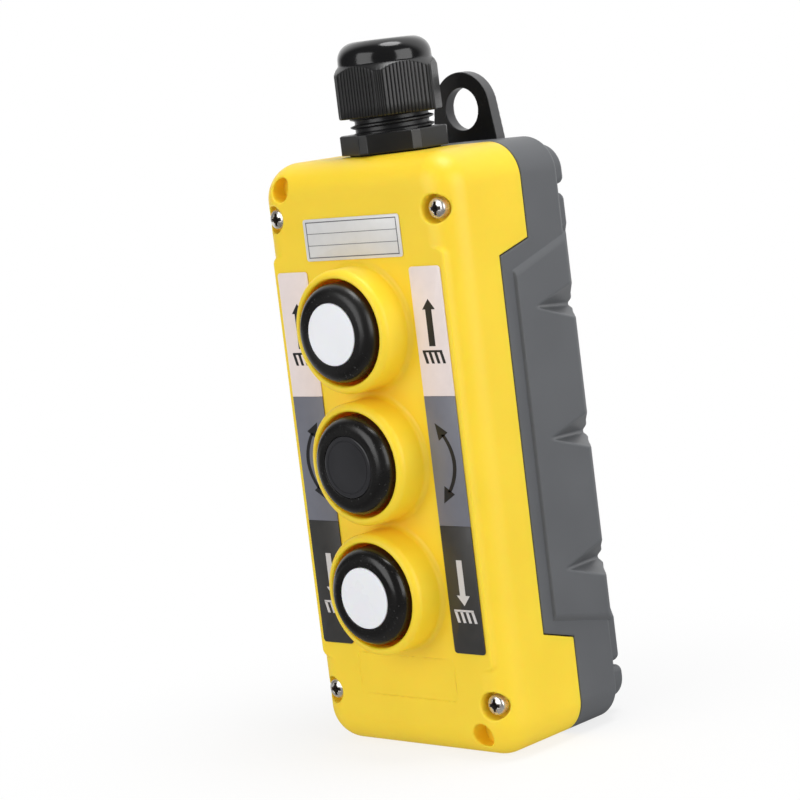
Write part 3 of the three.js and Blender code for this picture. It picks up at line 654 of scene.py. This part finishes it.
def rear_sdf(x, y, z):
    d = y - PANEL
    across = np.abs(x)
    # the back slopes: these depths shrink a little towards the bottom
    d_body = d - 0.005 * (130.0 - z)
    d_pad = d - 0.0105 * (128.0 - z)
    d_grip = d - 0.0080 * (108.0 - z)
    back = d_pad - BACK_DEPTH
    outline = cover_outline(x, z)
    body = round_overlap(outline, (outline + d_body - 40.5) / SLANT, 0.5)
    body = round_overlap(body, d_body - 44.5, 0.5)

    # raised back: a long pad with slanted, narrowed ends and a bar at the top and bottom
    low_end = (30.45 - (d - 19.0) * 0.2233 - z) * 0.976
    top_end = (z - 116.1 - (d - 19.0) * 0.307) * 0.956
    ends = overlap(low_end, top_end)
    waist = np.clip(-(ends + 0.4) / 4.0, 0.0, 1.0) * 1.3
    pad = round_overlap(box(x, z - 72.575, 27.8 - waist, 59.675, 2.0), back, 1.5)
    top = overlap(box(x, z - 139.4, 28.2, 5.1, 1.8), box(x, z - 74.2, 28.2, 70.3, 6.5))
    bottom = overlap(box(x, z - 7.4, 28.2, 4.5, 1.8), box(x, z - 74.0, 28.2, 71.1, 6.0))
    raised = join(pad, round_overlap(top, back, 1.4), round_overlap(bottom, back, 1.4))
    raised = overlap(raised, 40.0 - d)

    # grips standing out from both sides
    grip = round_overlap(across - 33.0, (across + d_grip - 73.65) / SLANT, 1.0)
    grip = round_overlap(grip, back, 0.8)
    grip = round_overlap(grip, ((across - 31.5) * 0.5 - (d - 19.75) * 1.5) / 1.581, 0.25)
    grip = overlap(grip, ends)
    grip = round_overlap(grip, (across - HALF_WIDTH + 0.75 * ends) / 1.25, 0.3)
    shell = fillet_join(join(body, raised), grip, 0.15)
    for button_z in BUTTONS.values():
        from_tip = (across - 33.0, d - 25.3, z - button_z - 0.3)
        upper, lower = (normal[0] * from_tip[0] + normal[1] * from_tip[1]
                        + normal[2] * from_tip[2] for normal in (NOTCH_UPPER, NOTCH_LOWER))
        shell = cut(shell, round_overlap(-upper, -lower, 0.9), 0.3)

    cavity = box(x, z - HALF_HEIGHT, 27.6, CAVITY_HALF_HEIGHT, CAVITY_CORNER)
    shell = cut(shell, round_overlap(cavity, d - 41.5, 8.0))
    for screw_x, screw_z in SCREWS.values():
        r = rad(x - screw_x, z - screw_z)
        shell = join(shell, overlap(rod(r, d, POST_RADIUS, back=43.0), body))
        shell = cut(shell, rod(r, d, 1.7, back=40.0))
    for screw_z in LUG_SCREWS.values():
        post = rod(rad(x, z - screw_z), d, 4.6, front=33.0, back=43.0)
        shell = join(shell, overlap(post, body))
    # slot the lug lies in, with its screw holes
    shell = cut(shell, overlap(across - 10.9, 117.6 - z, 44.8 - d), 0.25)
    for screw_z in LUG_SCREWS.values():
        shell = cut(shell, rod(rad(x, z - screw_z), d, 2.25, front=34.5))
    side = joint_side(x, y, z)
    shell = round_overlap(shell, JOINT_GAP - side, 0.3)
    groove = overlap(np.abs(outline + 1.5) - 0.7, side - 1.35)
    return cut(shell, groove)


def paint_collar_glow(ob, material):
    """The thin collar walls round the buttons let more light through than the rest; their deeper
    orange colour is painted glow for the light seen in the gap round each cap.
    """
    mesh = ob.data
    mesh.materials.append(material)
    x, y, z = (read_array(mesh.polygons, "center", 3) / MM).T
    inner = np.zeros(len(x), dtype=bool)
    for button_z in BUTTONS.values():
        inner |= (rad(x, z - button_z) < 13.2) & (y < PANEL)
    mesh.polygons.foreach_set("material_index", inner.astype(np.int32))


cover = sdf_object("front_cover_skin", front_sdf, (-33.1, -29.6, -0.6), (33.1, 11.2, 148.6),
                   step=0.5, material=YELLOW, keep=0.30)
# the collar walls take the painted orange glow
paint_collar_glow(cover, COLLAR)
settle(cover, "front_cover", "enclosure")
cover = sdf_object("rear_cover_skin", rear_sdf, (-33.9, -4.6, -0.6), (33.9, 30.4, 148.6),
                   step=0.5, material=GREY, keep=0.30)
settle(cover, "rear_cover", "enclosure")

# ---------------------------------------------------------------- hanging lug

EYE_Z = 155.0
EYE_RADIUS = 9.3
EYE_HOLE = 5.33
LUG_HALF_WIDTH = 10.54
LUG_BOTTOM = 118.0
LUG_MID_DEPTH = 46.55
LUG_HALF_THICKNESS = 1.65
LUG_TAPER = math.radians(8.5)       # lean of the sides towards the eye
TAPER_TOP = 156.37                  # where the sides meet the eye's round


def lug_sdf(x, y, z):
    d = y - PANEL
    across = np.abs(x)
    eye = rad(x, z - EYE_Z)
    taper = across * math.cos(LUG_TAPER) + (z - EYE_Z) * math.sin(LUG_TAPER) - EYE_RADIUS
    foot = round_overlap(across - LUG_HALF_WIDTH, LUG_BOTTOM - z, 1.8)
    outline = join(overlap(taper, z - TAPER_TOP, foot), eye - EYE_RADIUS)
    plate = round_overlap(outline, np.abs(d - LUG_MID_DEPTH) - LUG_HALF_THICKNESS, 0.35)
    plate = cut(plate, eye - EYE_HOLE, 0.35)
    for screw_z in LUG_SCREWS.values():
        sink = np.maximum(2.25, 2.25 + (d - 46.1))
        plate = cut(plate, (rad(x, z - screw_z) - sink) * 0.8)
    return plate


lug = sdf_object("lug_plate", lug_sdf, (-11.3, 24.3, 117.3), (11.3, 28.9, 165.1), step=0.3,
                 material=LUG, keep=0.5)
settle(lug, "hanging_lug", "enclosure")

# --------------------------------------------------------------------- screws

HEAD_RIM_RADIUS = 2.5
COVER_SHANK_RADIUS = 1.45
COVER_HEAD_CUT = 5.2            # depth where the contoured head hands over to the turned shank
LUG_SHANK_RADIUS = 1.95
LUG_HEAD_RADIUS = 3.95
LUG_HEAD_BACK = 48.02


def cross_recess(x, z, sunk, arm, slot, core):
    """Cross-shaped driver recess narrowing as sunk goes from 0 to 1. Arm length, half slot
    width and core radius are each (value at the mouth, loss at the bottom)."""
    arm, slot, core = (mouth - loss * sunk for mouth, loss in (arm, slot, core))
    cross = join(overlap(np.abs(x) - arm, np.abs(z) - slot),
                 overlap(np.abs(z) - arm, np.abs(x) - slot))
    return join(cross, rad(x, z) - core)


def pan_head(x, d, z):
    """Domed head and the start of its shank, about the origin."""
    r = rad(x, z)
    dome = rad(r, (d - 5.5)) - 4.6
    head = round_overlap(overlap(dome, d - 3.9), r - HEAD_RIM_RADIUS, 0.35)
    return join(head, overlap(r - COVER_SHANK_RADIUS, 3.5 - d))


def cover_head_sdf(x, d, z):
    sunk = np.clip((d - 0.9) / 1.7, 0, 1)
    recess = cross_recess(x, z, sunk, arm=(1.75, 0.75), slot=(0.42, 0.12), core=(1.0, 0.35))
    head = cut(pan_head(x, d, z), overlap(recess, d - 2.8), 0.06)
    return overlap(head, d - COVER_HEAD_CUT)


def lug_head_sdf(screw_z):
    """Countersunk head seen from behind."""
    def sdf(x, y, z):
        d = y - PANEL
        z = z - screw_z
        flare = np.maximum(LUG_SHANK_RADIUS, LUG_SHANK_RADIUS + (d - 46.05))
        cone = (rad(x, z) - np.minimum(flare, LUG_HEAD_RADIUS)) * 0.8
        head = overlap(cone, d - LUG_HEAD_BACK, 43.0 - d)
        sunk = np.clip((LUG_HEAD_BACK - d) / 1.3, 0, 1)
        recess = cross_recess(x, z, sunk, arm=(2.1, 0.9), slot=(0.36, 0.10), core=(1.0, 0.4))
        return cut(head, overlap(recess, 46.75 - d), 0.05)
    return sdf


def finish_screw(head, x, z, shank_profile, node):
    """Adds the turned shank to a contoured head."""
    shank = lathe("loose_shank", shank_profile, on_y(x, z), NICKEL, segments=24)
    head.data = joined(head.data, shank.data)
    bpy.data.objects.remove(shank)
    head.name = node + "_skin"
    head.data.name = head.name
    settle(head, node, "enclosure")


def build_cover_screws():
    verts, quads = contour(cover_head_sdf, (-3.1, 0.5, -3.1), (3.1, 5.6, 3.1), 0.14)
    middle = verts[quads].mean(axis=1)
    # faces inside the cross recess get the painted shade
    recess_shade_faces = (pan_head(*middle.T) < -0.10) & (middle[:, 1] < 3.0)
    # (radius, depth)
    shank = [(0, 5.0), (COVER_SHANK_RADIUS, 5.0), (COVER_SHANK_RADIUS, 37.6), (0.7, 38.8),
             (0, 38.8)]
    for name, (screw_x, screw_z) in SCREWS.items():
        head = make_object("loose_head", verts + np.array([screw_x, PANEL, screw_z]), quads,
                           [NICKEL, RECESS_SHADE], slots=recess_shade_faces.astype(int))
        refine_normals(head, lambda x, y, z: cover_head_sdf(x - screw_x, y - PANEL, z - screw_z))
        finish_screw(head, screw_x, screw_z, shank, "cover_screw_" + name)


def build_lug_screws():
    # (radius, depth)
    shank = [(0, 43.2), (LUG_SHANK_RADIUS, 43.2), (LUG_SHANK_RADIUS, 36.8), (1.3, 36.0),
             (0, 36.0)]
    for name, screw_z in LUG_SCREWS.items():
        head = sdf_object("loose_head", lug_head_sdf(screw_z), (-4.3, 22.6, screw_z - 4.3),
                          (4.3, 28.4, screw_z + 4.3), step=0.18, material=NICKEL)
        finish_screw(head, 0, screw_z, shank, "lug_screw_" + name)


build_cover_screws()
build_lug_screws()

# -------------------------------------------------------------------- buttons

# Profiles are (radius, depth) from the front centre outwards.
CAP_PROFILE = [(0, -10.3), (7.6, -10.3), (7.72, -10.4), (7.72, -11.35),
               *arc((7.87, -11.35), 0.15, 180, 270, 4), (8.6, -11.5), (9.1, -11.5),
               *arc((9.1, -8.4), (3.0, 3.1), 270, 360, 22)[1:],
               (12.1, -6.0), (12.1, -4.35), (11.95, -4.2), (11.05, -4.2), (10.9, -4.35),
               (10.9, -7.9), (10.3, -8.5), (7.0, -8.5), (6.8, -8.3), (6.8, -5.0), (5.25, -5.0),
               (5.25, -8.5), (0, -8.5)]
DISC_EDGE = [(0, -10.3), (7.5, -10.3), (7.6, -10.4), (7.6, -11.3),
             *arc((7.3, -11.28), 0.3, 0, -90, 6)[1:]]
PLAIN_FACE = [(5.0, -11.6), (2.0, -11.6), (0, -11.6)]
GROOVED_FACE = [(6.6, -11.58), (6.5, -11.45), (6.35, -11.45), (6.25, -11.58), (3.0, -11.57),
                (0, -11.56)]
SEAL_PROFILE = [(5.3, 0.3), (10.4, 0.3), (10.4, -0.3), (10.3, -0.4), (6.4, -0.4), (6.2, -0.5),
                (5.9, -0.8), (5.5, -0.85), (5.3, -0.8)]

SPRING_TURNS = 5
SPRING_RADIUS = 3.6
WIRE_RADIUS = 0.42
SPRING_FRONT = 17.1             # depths of the spring's ends
SPRING_BACK = 26.7
CLOSED_SHARE = 0.1              # share of the wire in each closed end
CLOSED_RISE = 0.04              # share of the length each closed end takes up


def coil_rise(t):
    """Share of the spring's length reached at share t of the wire."""
    if t < CLOSED_SHARE:
        return CLOSED_RISE * t / CLOSED_SHARE
    if t > 1 - CLOSED_SHARE:
        return 1 - CLOSED_RISE * (1 - t) / CLOSED_SHARE
    return CLOSED_RISE + (1 - 2 * CLOSED_RISE) * (t - CLOSED_SHARE) / (1 - 2 * CLOSED_SHARE)


def return_spring(name, centre_z):
    """Coil of round wire with closed ends, its axis along Y."""
    along, sides = SPRING_TURNS * 40, 12
    first, last = SPRING_FRONT + WIRE_RADIUS, SPRING_BACK - WIRE_RADIUS
    verts, faces = [], []
    for i in range(along + 1):
        t = i / along
        turn = 2 * math.pi * SPRING_TURNS * t
        d = first + (last - first) * coil_rise(t)
        for k in range(sides):
            a = 2 * math.pi * k / sides
            r = SPRING_RADIUS + WIRE_RADIUS * math.cos(a)
            verts.append((r * math.cos(turn), PANEL + d + WIRE_RADIUS * math.sin(a),
                          centre_z + r * math.sin(turn)))
    for i in range(along):
        a, b = i * sides, (i + 1) * sides
        for k in range(sides):
            k2 = (k + 1) % sides
            faces.append((a + k, a + k2, b + k2, b + k))
    faces.append(tuple(range(sides - 1, -1, -1)))
    faces.append(tuple(along * sides + k for k in range(sides)))
    ob = make_object(name, verts, faces, [STEEL])
    face_outward(ob, sharp=50)
    return ob


def build_button(name, z):
    place = on_y(0.0, z)
    cap = lathe(f"button_cap_{name}_skin", CAP_PROFILE, place, BLACK_CAP, segments=144)
    settle(cap, f"button_cap_{name}", f"button_{name}")
    if name == "middle":
        face, material, slot = GROOVED_FACE, BLACK_DISC, "black_disc"
    else:
        face, material, slot = PLAIN_FACE, WHITE_DISC, "white_disc"
    disc = lathe(f"button_disc_{name}_skin", DISC_EDGE + face, place, material, segments=144)
    settle(disc, f"button_disc_{name}", f"button_{name}")
    seal = lathe(f"button_seal_{name}_skin", SEAL_PROFILE, place, RUBBER, segments=96,
                 closed=True)
    settle(seal, f"button_seal_{name}", "enclosure")
    spring = return_spring(f"return_spring_{name}_skin", z)
    settle(spring, f"return_spring_{name}", "enclosure")
    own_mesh(spring)


for button_name, button_height in BUTTONS.items():
    build_button(button_name, button_height)

# ---------------------------------------------------------------- cable gland

HEX_APOTHEM = 12.0              # of both the body's flange and the nut
FLANGE_TOP = 152.3
CLAW_BASE = 161.0               # top of the upper thread, where the claws start


def hex_sides(apothem, corner, flat_turn, corner_turn):
    """(angle, distance) of the flats and corner cuts of a hexagon; turns in degrees."""
    half_flat = math.degrees(math.acos(apothem / corner))
    cut_distance = corner * math.cos(math.radians(30 - half_flat))
    return [(math.radians(turn + 60 * k), distance) for k in range(6)
            for turn, distance in ((flat_turn, apothem), (corner_turn, cut_distance))]


def thread_radius(z, theta, pitch, start, root, height, flank_start, flank_width):
    phase = ((z - start) / pitch - theta / (2 * math.pi)) % 1.0
    ridge = np.abs(phase - 0.5) * 2.0
    return root + height * np.clip((ridge - flank_start) / flank_width, 0, 1)


def gland_body_sdf(x, y, z):
    y = y - GLAND_Y
    r = rad(x, y)
    theta = np.arctan2(y, x)
    flange = overlap(*[x * math.cos(a) + y * math.sin(a) - distance
                       for a, distance in hex_sides(HEX_APOTHEM, 13.2, -52.8, -22.8)])
    flange = round_overlap(round_overlap(flange, 147.4 - z, 0.25), z - FLANGE_TOP, 0.35)
    flange = overlap(flange, (r + (z - FLANGE_TOP) * 1.7 - 12.75) * 0.5)
    crest = thread_radius(z, theta, pitch=2.0, start=154.763, root=9.15, height=1.15,
                          flank_start=0.42, flank_width=0.38)
    upper = overlap((r - crest) * 0.4, z - CLAW_BASE, 150.0 - z)
    claws = overlap(r - 8.9 + np.clip(z - CLAW_BASE, 0, 6) * 0.04, z - 166.5, 150.0 - z)
    crest = thread_radius(z, theta, pitch=1.5, start=0.0, root=9.2, height=0.65,
                          flank_start=0.15, flank_width=0.7)
    lower = overlap((r - crest) * 0.6, 136.5 - z, z - 148.6)
    body = join(flange, upper, claws, lower)
    # the bore widens over one millimetre
    bore = np.where(z > 156.0, 7.0, np.where(z < 155.0, 6.0, 6.0 + (z - 155.0)))
    body = cut(body, r - bore)
    # slits between the claws
    for k in range(3):
        a = math.pi * k / 3
        across = -x * math.sin(a) + y * math.cos(a)
        body = cut(body, overlap(np.abs(across) - 0.6, 162.0 - z))
    return body


def dome_nut():
    """Ribbed hexagon nut with a conical shoulder and a domed, bored top."""
    rib_count, rib_steps = 84, 14
    n = rib_count * rib_steps
    theta = 2 * np.pi * np.arange(n) / n
    hexagon = np.full(n, 1e9)
    for a, distance in hex_sides(HEX_APOTHEM, 13.4, -26.0, 4.0):
        c = np.cos(theta - a)
        hexagon = np.where(c > 0.05, np.minimum(hexagon, distance / np.maximum(c, 0.05)),
                           hexagon)
    rib = np.clip(np.sin(np.pi * ((np.arange(n) % rib_steps) / rib_steps)) * 1.7, 0.0, 1.0)
    outer = hexagon - 0.24 * (1 - rib)

    def cone_z(r):
        return 169.0 - (r - 11.6) / 4.4 * 4.8

    # Rings of (radius, z), each a number or an array round the nut: up the outside first.
    side_bottom = 156.65
    side_top = cone_z(outer)
    rings = [(outer - 0.55, 156.2), (outer - 0.2, 156.28), (outer, side_bottom)]
    rings += [(outer, side_bottom + (side_top - side_bottom) * f)
              for f in (0.2, 0.4, 0.6, 0.8, 0.97)]
    rings.append((outer - 0.03, side_top - 0.02))
    for f in (0.15, 0.5, 0.85):
        r = outer + (11.75 - outer) * f
        rings.append((r, cone_z(r)))
    ribbed_rings = len(rings)
    rings += [(11.72, 168.93), (11.62, 169.12), (11.58, 169.4), (11.56, 169.9)]
    rings += arc((7.05, 170.3), (4.5, 4.3), 0, 90, 14)
    rings.append((6.85, 174.6))
    rings += arc((6.85, 174.05), 0.55, 90, 180, 6)
    # down the bore to the bottom edge
    bore = 10.45
    rings += [(6.3, 173.2), (6.3, 172.5), (7.7, 171.1), (9.2, 169.6), (9.2, 169.3),
              (bore, 166.5)]
    z = 166.0
    while z > 157.6:
        rings.append((bore, z))
        z -= 1.4
    rings += [(bore, 156.5), (10.7, 156.2)]

    verts = [np.stack([r * np.cos(theta), GLAND_Y + r * np.sin(theta), np.full(n, z)], axis=1)
             for r, z in rings]
    here, after = np.arange(n), (np.arange(n) + 1) % n
    faces = []
    for i in range(len(rings)):
        a, b = i * n, (i + 1) % len(rings) * n
        faces.append(np.stack([a + here, a + after, b + after, b + here], axis=1))
    # glossy on the ribbed outside (slot 1 of the dull gland finish takes it)
    slots = np.repeat((np.arange(len(rings)) < ribbed_rings).astype(int), n)
    ob = make_object("gland_dome_nut_skin", np.concatenate(verts), np.concatenate(faces),
                     [GLAND_NUT, GLAND], slots=slots)
    face_outward(ob, sharp=62)
    return ob


# name: closed (radius, z) profile, material, body it rides, slot
GLAND_RINGS = {
    "gland_washer": (
        [(10.2, 147.05), (11.1, 147.05), (11.2, 147.12), (11.2, 147.28), (11.1, 147.35),
         (10.2, 147.35)],
        RUBBER, "enclosure", "black_rubber"),
    "gland_seal_insert": (
        [(4.7, 156.2), (6.6, 156.2), (6.7, 156.4), (6.85, 157.2), (6.85, 165.9), (6.6, 166.2),
         (5.2, 166.2), (4.85, 166.0), (4.7, 165.6), (4.7, 163.2), (4.95, 163.0), (4.95, 162.4),
         (4.7, 162.2), (4.7, 160.2), (4.95, 160.0), (4.95, 159.4), (4.7, 159.2)],
        RUBBER, "enclosure", "black_rubber"),
    "gland_thrust_ring": (
        [(5.4, 168.2), (5.6, 168.0), (8.5, 168.0), (8.7, 168.15), (8.42, 169.0), (8.3, 169.1),
         (5.6, 169.1), (5.4, 168.9)],
        GLAND, "gland_thrust", "gland_nylon"),
}

gland = sdf_object("gland_body_skin", gland_body_sdf, (-13.7, -14.9, 136.0),
                   (13.7, 12.5, 167.0), step=0.28, material=GLAND, keep=0.45)
settle(gland, "gland_body", "enclosure")
for ring_name, (ring_profile, ring_material, ring_body, ring_slot) in GLAND_RINGS.items():
    ring_ob = lathe(ring_name + "_skin", ring_profile, on_gland, ring_material, segments=96,
                    closed=True)
    settle(ring_ob, ring_name, ring_body)
settle(dome_nut(), "gland_dome_nut", "gland_nut")

# --------------------------------------------------------------------- labels

FILM = (-0.34, -0.05)           # front and back depths of the label films
FILM_BEVEL = 0.06
LEGEND_PRINT = (-0.38, -0.33)
PLATE_PRINT = (-0.37, -0.33)

STRIP_X = {"left": (-27.1, -16.8), "right": (17.3, 27.1)}
# bottom z, top z, material, rounded corners (bottom right, top right, top left, bottom left)
STRIP_FIELDS = ((26.5, 57.88, FIELD_DARK, (1, 0, 0, 1)),
                (57.92, 89.38, FIELD_GREY, (0, 0, 0, 0)),
                (89.42, 120.5, FIELD_WHITE, (0, 1, 1, 0)))

# Pictograms as (x, z) on the right strip; the straight ones are shifted to the left strip.
LEFT_SHIFT = -43.85
UP_ARROW = [(21.07, 101.4), (23.03, 101.4), (23.03, 110.2), (24.19, 110.2), (22.25, 112.7),
            (20.16, 110.2), (21.07, 110.2)]
DOWN_ARROW = [(21.24, 49.6), (21.24, 40.9), (20.21, 40.9), (22.3, 38.4), (24.29, 40.9),
              (22.99, 40.9), (22.99, 49.6)]
CURVE_Z = 73.15                 # middle of the curved arrow
ARROW_HEAD = ((19.75, 9.75), (20.45, 5.5), (23.5, 7.5))     # (x, distance from CURVE_Z)

# left, right, bottom and top of the printed frame and rules
PLATE_RULES = ((-15.1, 15.1, 132.35, 132.6), (-15.1, 15.1, 123.7, 123.95),
               (-15.1, -14.85, 123.7, 132.6), (14.85, 15.1, 123.7, 132.6),
               (-14.85, 14.85, 129.6, 129.75), (-14.85, 14.85, 126.7, 126.85))


def rectangle(x0, x1, z0, z1):
    return [(x0, z0), (x1, z0), (x1, z1), (x0, z1)]


def round_rect(x0, x1, z0, z1, radius, rounded=(1, 1, 1, 1)):
    """Counter-clockwise from the bottom right corner; rounded picks the rounded ones."""
    corners = ((x1, z0, -1, 1, -90), (x1, z1, -1, -1, 0), (x0, z1, 1, -1, 90),
               (x0, z0, 1, 1, 180))
    points = []
    for (x, z, inward_x, inward_z, start), is_round in zip(corners, rounded):
        if is_round:
            centre = (x + inward_x * radius, z + inward_z * radius)
            points += arc(centre, radius, start, start + 90, 6)
        else:
            points.append((x, z))
    return points


def legend_strip(side):
    parts = [prism(round_rect(*STRIP_X[side], z0, z1, 0.9, rounded), *FILM, material,
                   bevel=FILM_BEVEL)
             for z0, z1, material, rounded in STRIP_FIELDS]
    return merge(f"legend_strip_{side}_film", parts)


def hatched_bar(x, z):
    """Outlines of a bar with its top left corner at (x, z) and four slanted strokes below."""
    outlines = [[(x, z - 0.5), (x + 6.2, z - 0.5), (x + 6.2, z), (x, z)]]
    for k in range(4):
        a = x + 0.02 + k * 1.78
        outlines.append([(a, z - 0.4), (a + 0.8, z - 3.2), (a + 1.66, z - 3.2),
                         (a + 0.86, z - 0.4)])
    return outlines


def curved_arrow():
    """Outlines of a double-headed arrow bowed away from the buttons."""
    steps, half_width = 18, 0.56
    inner, outer = [], []
    for i in range(steps + 1):
        t = -1 + 2 * i / steps
        z = CURVE_Z + t * 7.0
        x = 21.85 + 2.65 * (1 - t * t)
        inner.append((x - half_width, z))
        outer.append((x + half_width, z))
    heads = [[(x, CURVE_Z + end * z) for x, z in ARROW_HEAD] for end in (-1, 1)]
    return [outer + inner[::-1], *heads]


def pictograms(side):
    """Up and down arrows over hatched bars, and a curved arrow between them."""
    shift, mirror = (LEFT_SHIFT, -1) if side == "left" else (0.0, 1)
    straight = [(outline, PRINT_DARK) for outline in (UP_ARROW, *hatched_bar(18.7, 100.45))]
    straight += [(outline, PRINT_PALE) for outline in (DOWN_ARROW, *hatched_bar(18.8, 37.4))]
    parts = [prism([(x + shift, z) for x, z in outline], *LEGEND_PRINT, material)
             for outline, material in straight]
    parts += [prism([(mirror * x, z) for x, z in outline], *LEGEND_PRINT, PRINT_DARK)
              for outline in curved_arrow()]
    return merge(f"legend_print_{side}", parts)


def rating_plate():
    parts = [prism(round_rect(-16, 16, 123, 133.3, 0.7), *FILM, SILVER, bevel=FILM_BEVEL)]
    parts += [prism(rectangle(*rule), *PLATE_PRINT, RULE) for rule in PLATE_RULES]
    return merge("rating_plate_film", parts)


for side_name in STRIP_X:
    settle(legend_strip(side_name), f"legend_strip_{side_name}", "enclosure")
    legend = pictograms(side_name)
    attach(legend, "enclosure")
settle(rating_plate(), "rating_plate", "enclosure")

# -------------------------------------------------- carried-over CAD solids

FINISH = {"black_nylon": NYLON, "contact_brass": BRASS, "phenolic_block": PHENOLIC,
          "nickel_screw": NICKEL, "gland_nylon": GLAND, "black_rubber": RUBBER,
          "spring_steel": STEEL, "yellow_abs": YELLOW, "grey_abs": GREY, "black_lug": LUG,
          "silver_label": SILVER, "legend_print": FIELD_GREY, "black_button": BLACK_CAP,
          "white_disc": WHITE_DISC, "black_disc": BLACK_DISC, "gland_nut_nylon": GLAND_NUT}
BEVELLED = ("contact_", "fixed_", "terminal_", "block_", "plunger", "gland_locknut")


def finish_cad():
    slots = {part["node"]: part["material_slot"]
             for part in frame["record"]["subparts"] if "node" in part}
    for name, ob in frame["nodes"].items():
        ob.data.materials.clear()
        ob.data.materials.append(FINISH.get(slots.get(name), NYLON))
        if name.startswith(BEVELLED):
            bevel_edges(ob, 0.12)


finish_cad()

# ------------------------------------------------------------ stage, in metres

FLOOR_RADII = (0.15, 0.35, 0.7, 1.4)
FLOOR_SEGMENTS = 96
FLOOR_Z = -0.0003


def floor_material():
    """White paper that turns into a lamp away from the middle."""
    material, tree, bsdf = new_material("floor_paper")
    set_inputs(tree, bsdf, {"Base Color": (0.93, 0.93, 0.93, 1), "Roughness": 0.9,
                            "Specular IOR Level": 0.05})
    position = add_node(tree, "NewGeometry").outputs["Position"]
    radius = add_node(tree, "VectorMath", {0: position}, operation="LENGTH").outputs["Value"]
    glow_share = map_range(tree, radius, 0.03, 0.14, to_min=0.78, curve="SMOOTHSTEP")
    # bright to the camera, less so as a lamp, and dim in reflections towards the front
    away = add_node(tree, "VectorMath", {0: position, 1: (-0.688, 0.726, 0.0)},
                    operation="DOT_PRODUCT").outputs["Value"]
    reflected = map_range(tree, away, -0.02, 0.30, to_min=0.05)
    rays = add_node(tree, "LightPath").outputs
    lamp = mix(tree, rays["Is Glossy Ray"], 0.72, reflected)
    power = mix(tree, rays["Is Camera Ray"], lamp, 1.0)
    glow = add_node(tree, "Emission", {"Color": (1, 1, 1, 1), "Strength": power})
    blend = add_node(tree, "MixShader", {"Fac": glow_share, 1: bsdf.outputs["BSDF"],
                                         2: glow.outputs["Emission"]})
    set_inputs(tree, tree.nodes["Material Output"], {"Surface": blend.outputs["Shader"]})
    return material


def build_floor():
    n = FLOOR_SEGMENTS
    verts = [(0.0, 0.0, FLOOR_Z)]
    for r in FLOOR_RADII:
        for k in range(n):
            a = 2 * math.pi * k / n
            verts.append((r * math.cos(a), r * math.sin(a), FLOOR_Z))
    faces = [(0, 1 + k, 1 + (k + 1) % n) for k in range(n)]
    for i in range(len(FLOOR_RADII) - 1):
        for k in range(n):
            a, b = 1 + i * n + k, 1 + i * n + (k + 1) % n
            faces.append((a, a + n, b + n, b))
    mesh = bpy.data.meshes.new("floor")
    mesh.from_pydata(verts, [], faces)
    mesh.materials.append(floor_material())
    ob = bpy.data.objects.new("floor", mesh)
    bpy.context.scene.collection.objects.link(ob)


def area_light(name, location, size, power, shape="RECTANGLE"):
    """Area light aimed at the middle of the box."""
    light = bpy.data.lights.new(name, "AREA")
    light.shape = shape
    light.size, light.size_y = size
    light.energy = power
    light.spread = math.pi
    ob = bpy.data.objects.new(name, light)
    ob.location = location
    aim = Vector((0.0, 0.0, 0.085)) - Vector(location)
    ob.rotation_euler = aim.to_track_quat("-Z", "Y").to_euler()
    bpy.context.scene.collection.objects.link(ob)


def build_world():
    """Soft even light, a bright patch high behind for reflections, white to the camera."""
    scene = bpy.context.scene
    world = scene.world or bpy.data.worlds.new("world")
    scene.world = world
    world.use_nodes = True
    tree = world.node_tree
    tree.nodes.clear()

    def background(strength):
        node = add_node(tree, "Background", {"Color": (1, 1, 1, 1), "Strength": strength})
        return node.outputs["Background"]

    direction = add_node(tree, "TexCoord").outputs["Generated"]
    patch = add_node(tree, "VectorMath", {0: direction, 1: (-0.351, 0.803, 0.482)},
                     operation="DOT_PRODUCT").outputs["Value"]
    patch = map_range(tree, patch, 0.28, 0.75, to_min=0.04, to_max=1.1, curve="SMOOTHSTEP")
    rays = add_node(tree, "LightPath").outputs
    lighting = add_node(tree, "MixShader", {"Fac": rays["Is Glossy Ray"],
                                            1: background(0.40), 2: background(patch)})
    seen = add_node(tree, "MixShader", {"Fac": rays["Is Camera Ray"],
                                        1: lighting.outputs["Shader"], 2: background(1.0)})
    add_node(tree, "OutputWorld", {"Surface": seen.outputs["Shader"]})


def build_camera():
    right = (0.7308722, 0.67176718, -0.12064279)
    up = (0.00151854, 0.17516132, 0.98453858)
    backward = (0.68251265, -0.71975507, 0.12700043)
    camera = bpy.data.cameras.new("camera")
    camera.lens = 114.3268
    camera.shift_y = 0.00023
    camera.sensor_width = 36.0
    camera.sensor_fit = "HORIZONTAL"
    camera.clip_start = 0.01
    camera.clip_end = 20.0
    ob = bpy.data.objects.new("camera", camera)
    pose = Matrix((right, up, backward)).transposed().to_4x4()
    pose.translation = (0.42609284, -0.45979074, 0.16601089)
    ob.matrix_world = pose
    bpy.context.scene.collection.objects.link(ob)
    bpy.context.scene.camera = ob


build_floor()
area_light("key_left", location=(-0.16, -1.02, 0.33), size=(0.75, 1.0), power=5.9)
area_light("key_right", location=(1.02, 0.06, 0.24), size=(0.75, 1.0), power=7.0)
area_light("top", location=(0.17, 0.07, 1.05), size=(0.50, 0.50), power=4.5, shape="ELLIPSE")
build_world()

view = bpy.context.scene.view_settings
view.view_transform = "Standard"
view.look = "None"
view.exposure = 0.0
view.gamma = 1.0
build_camera()
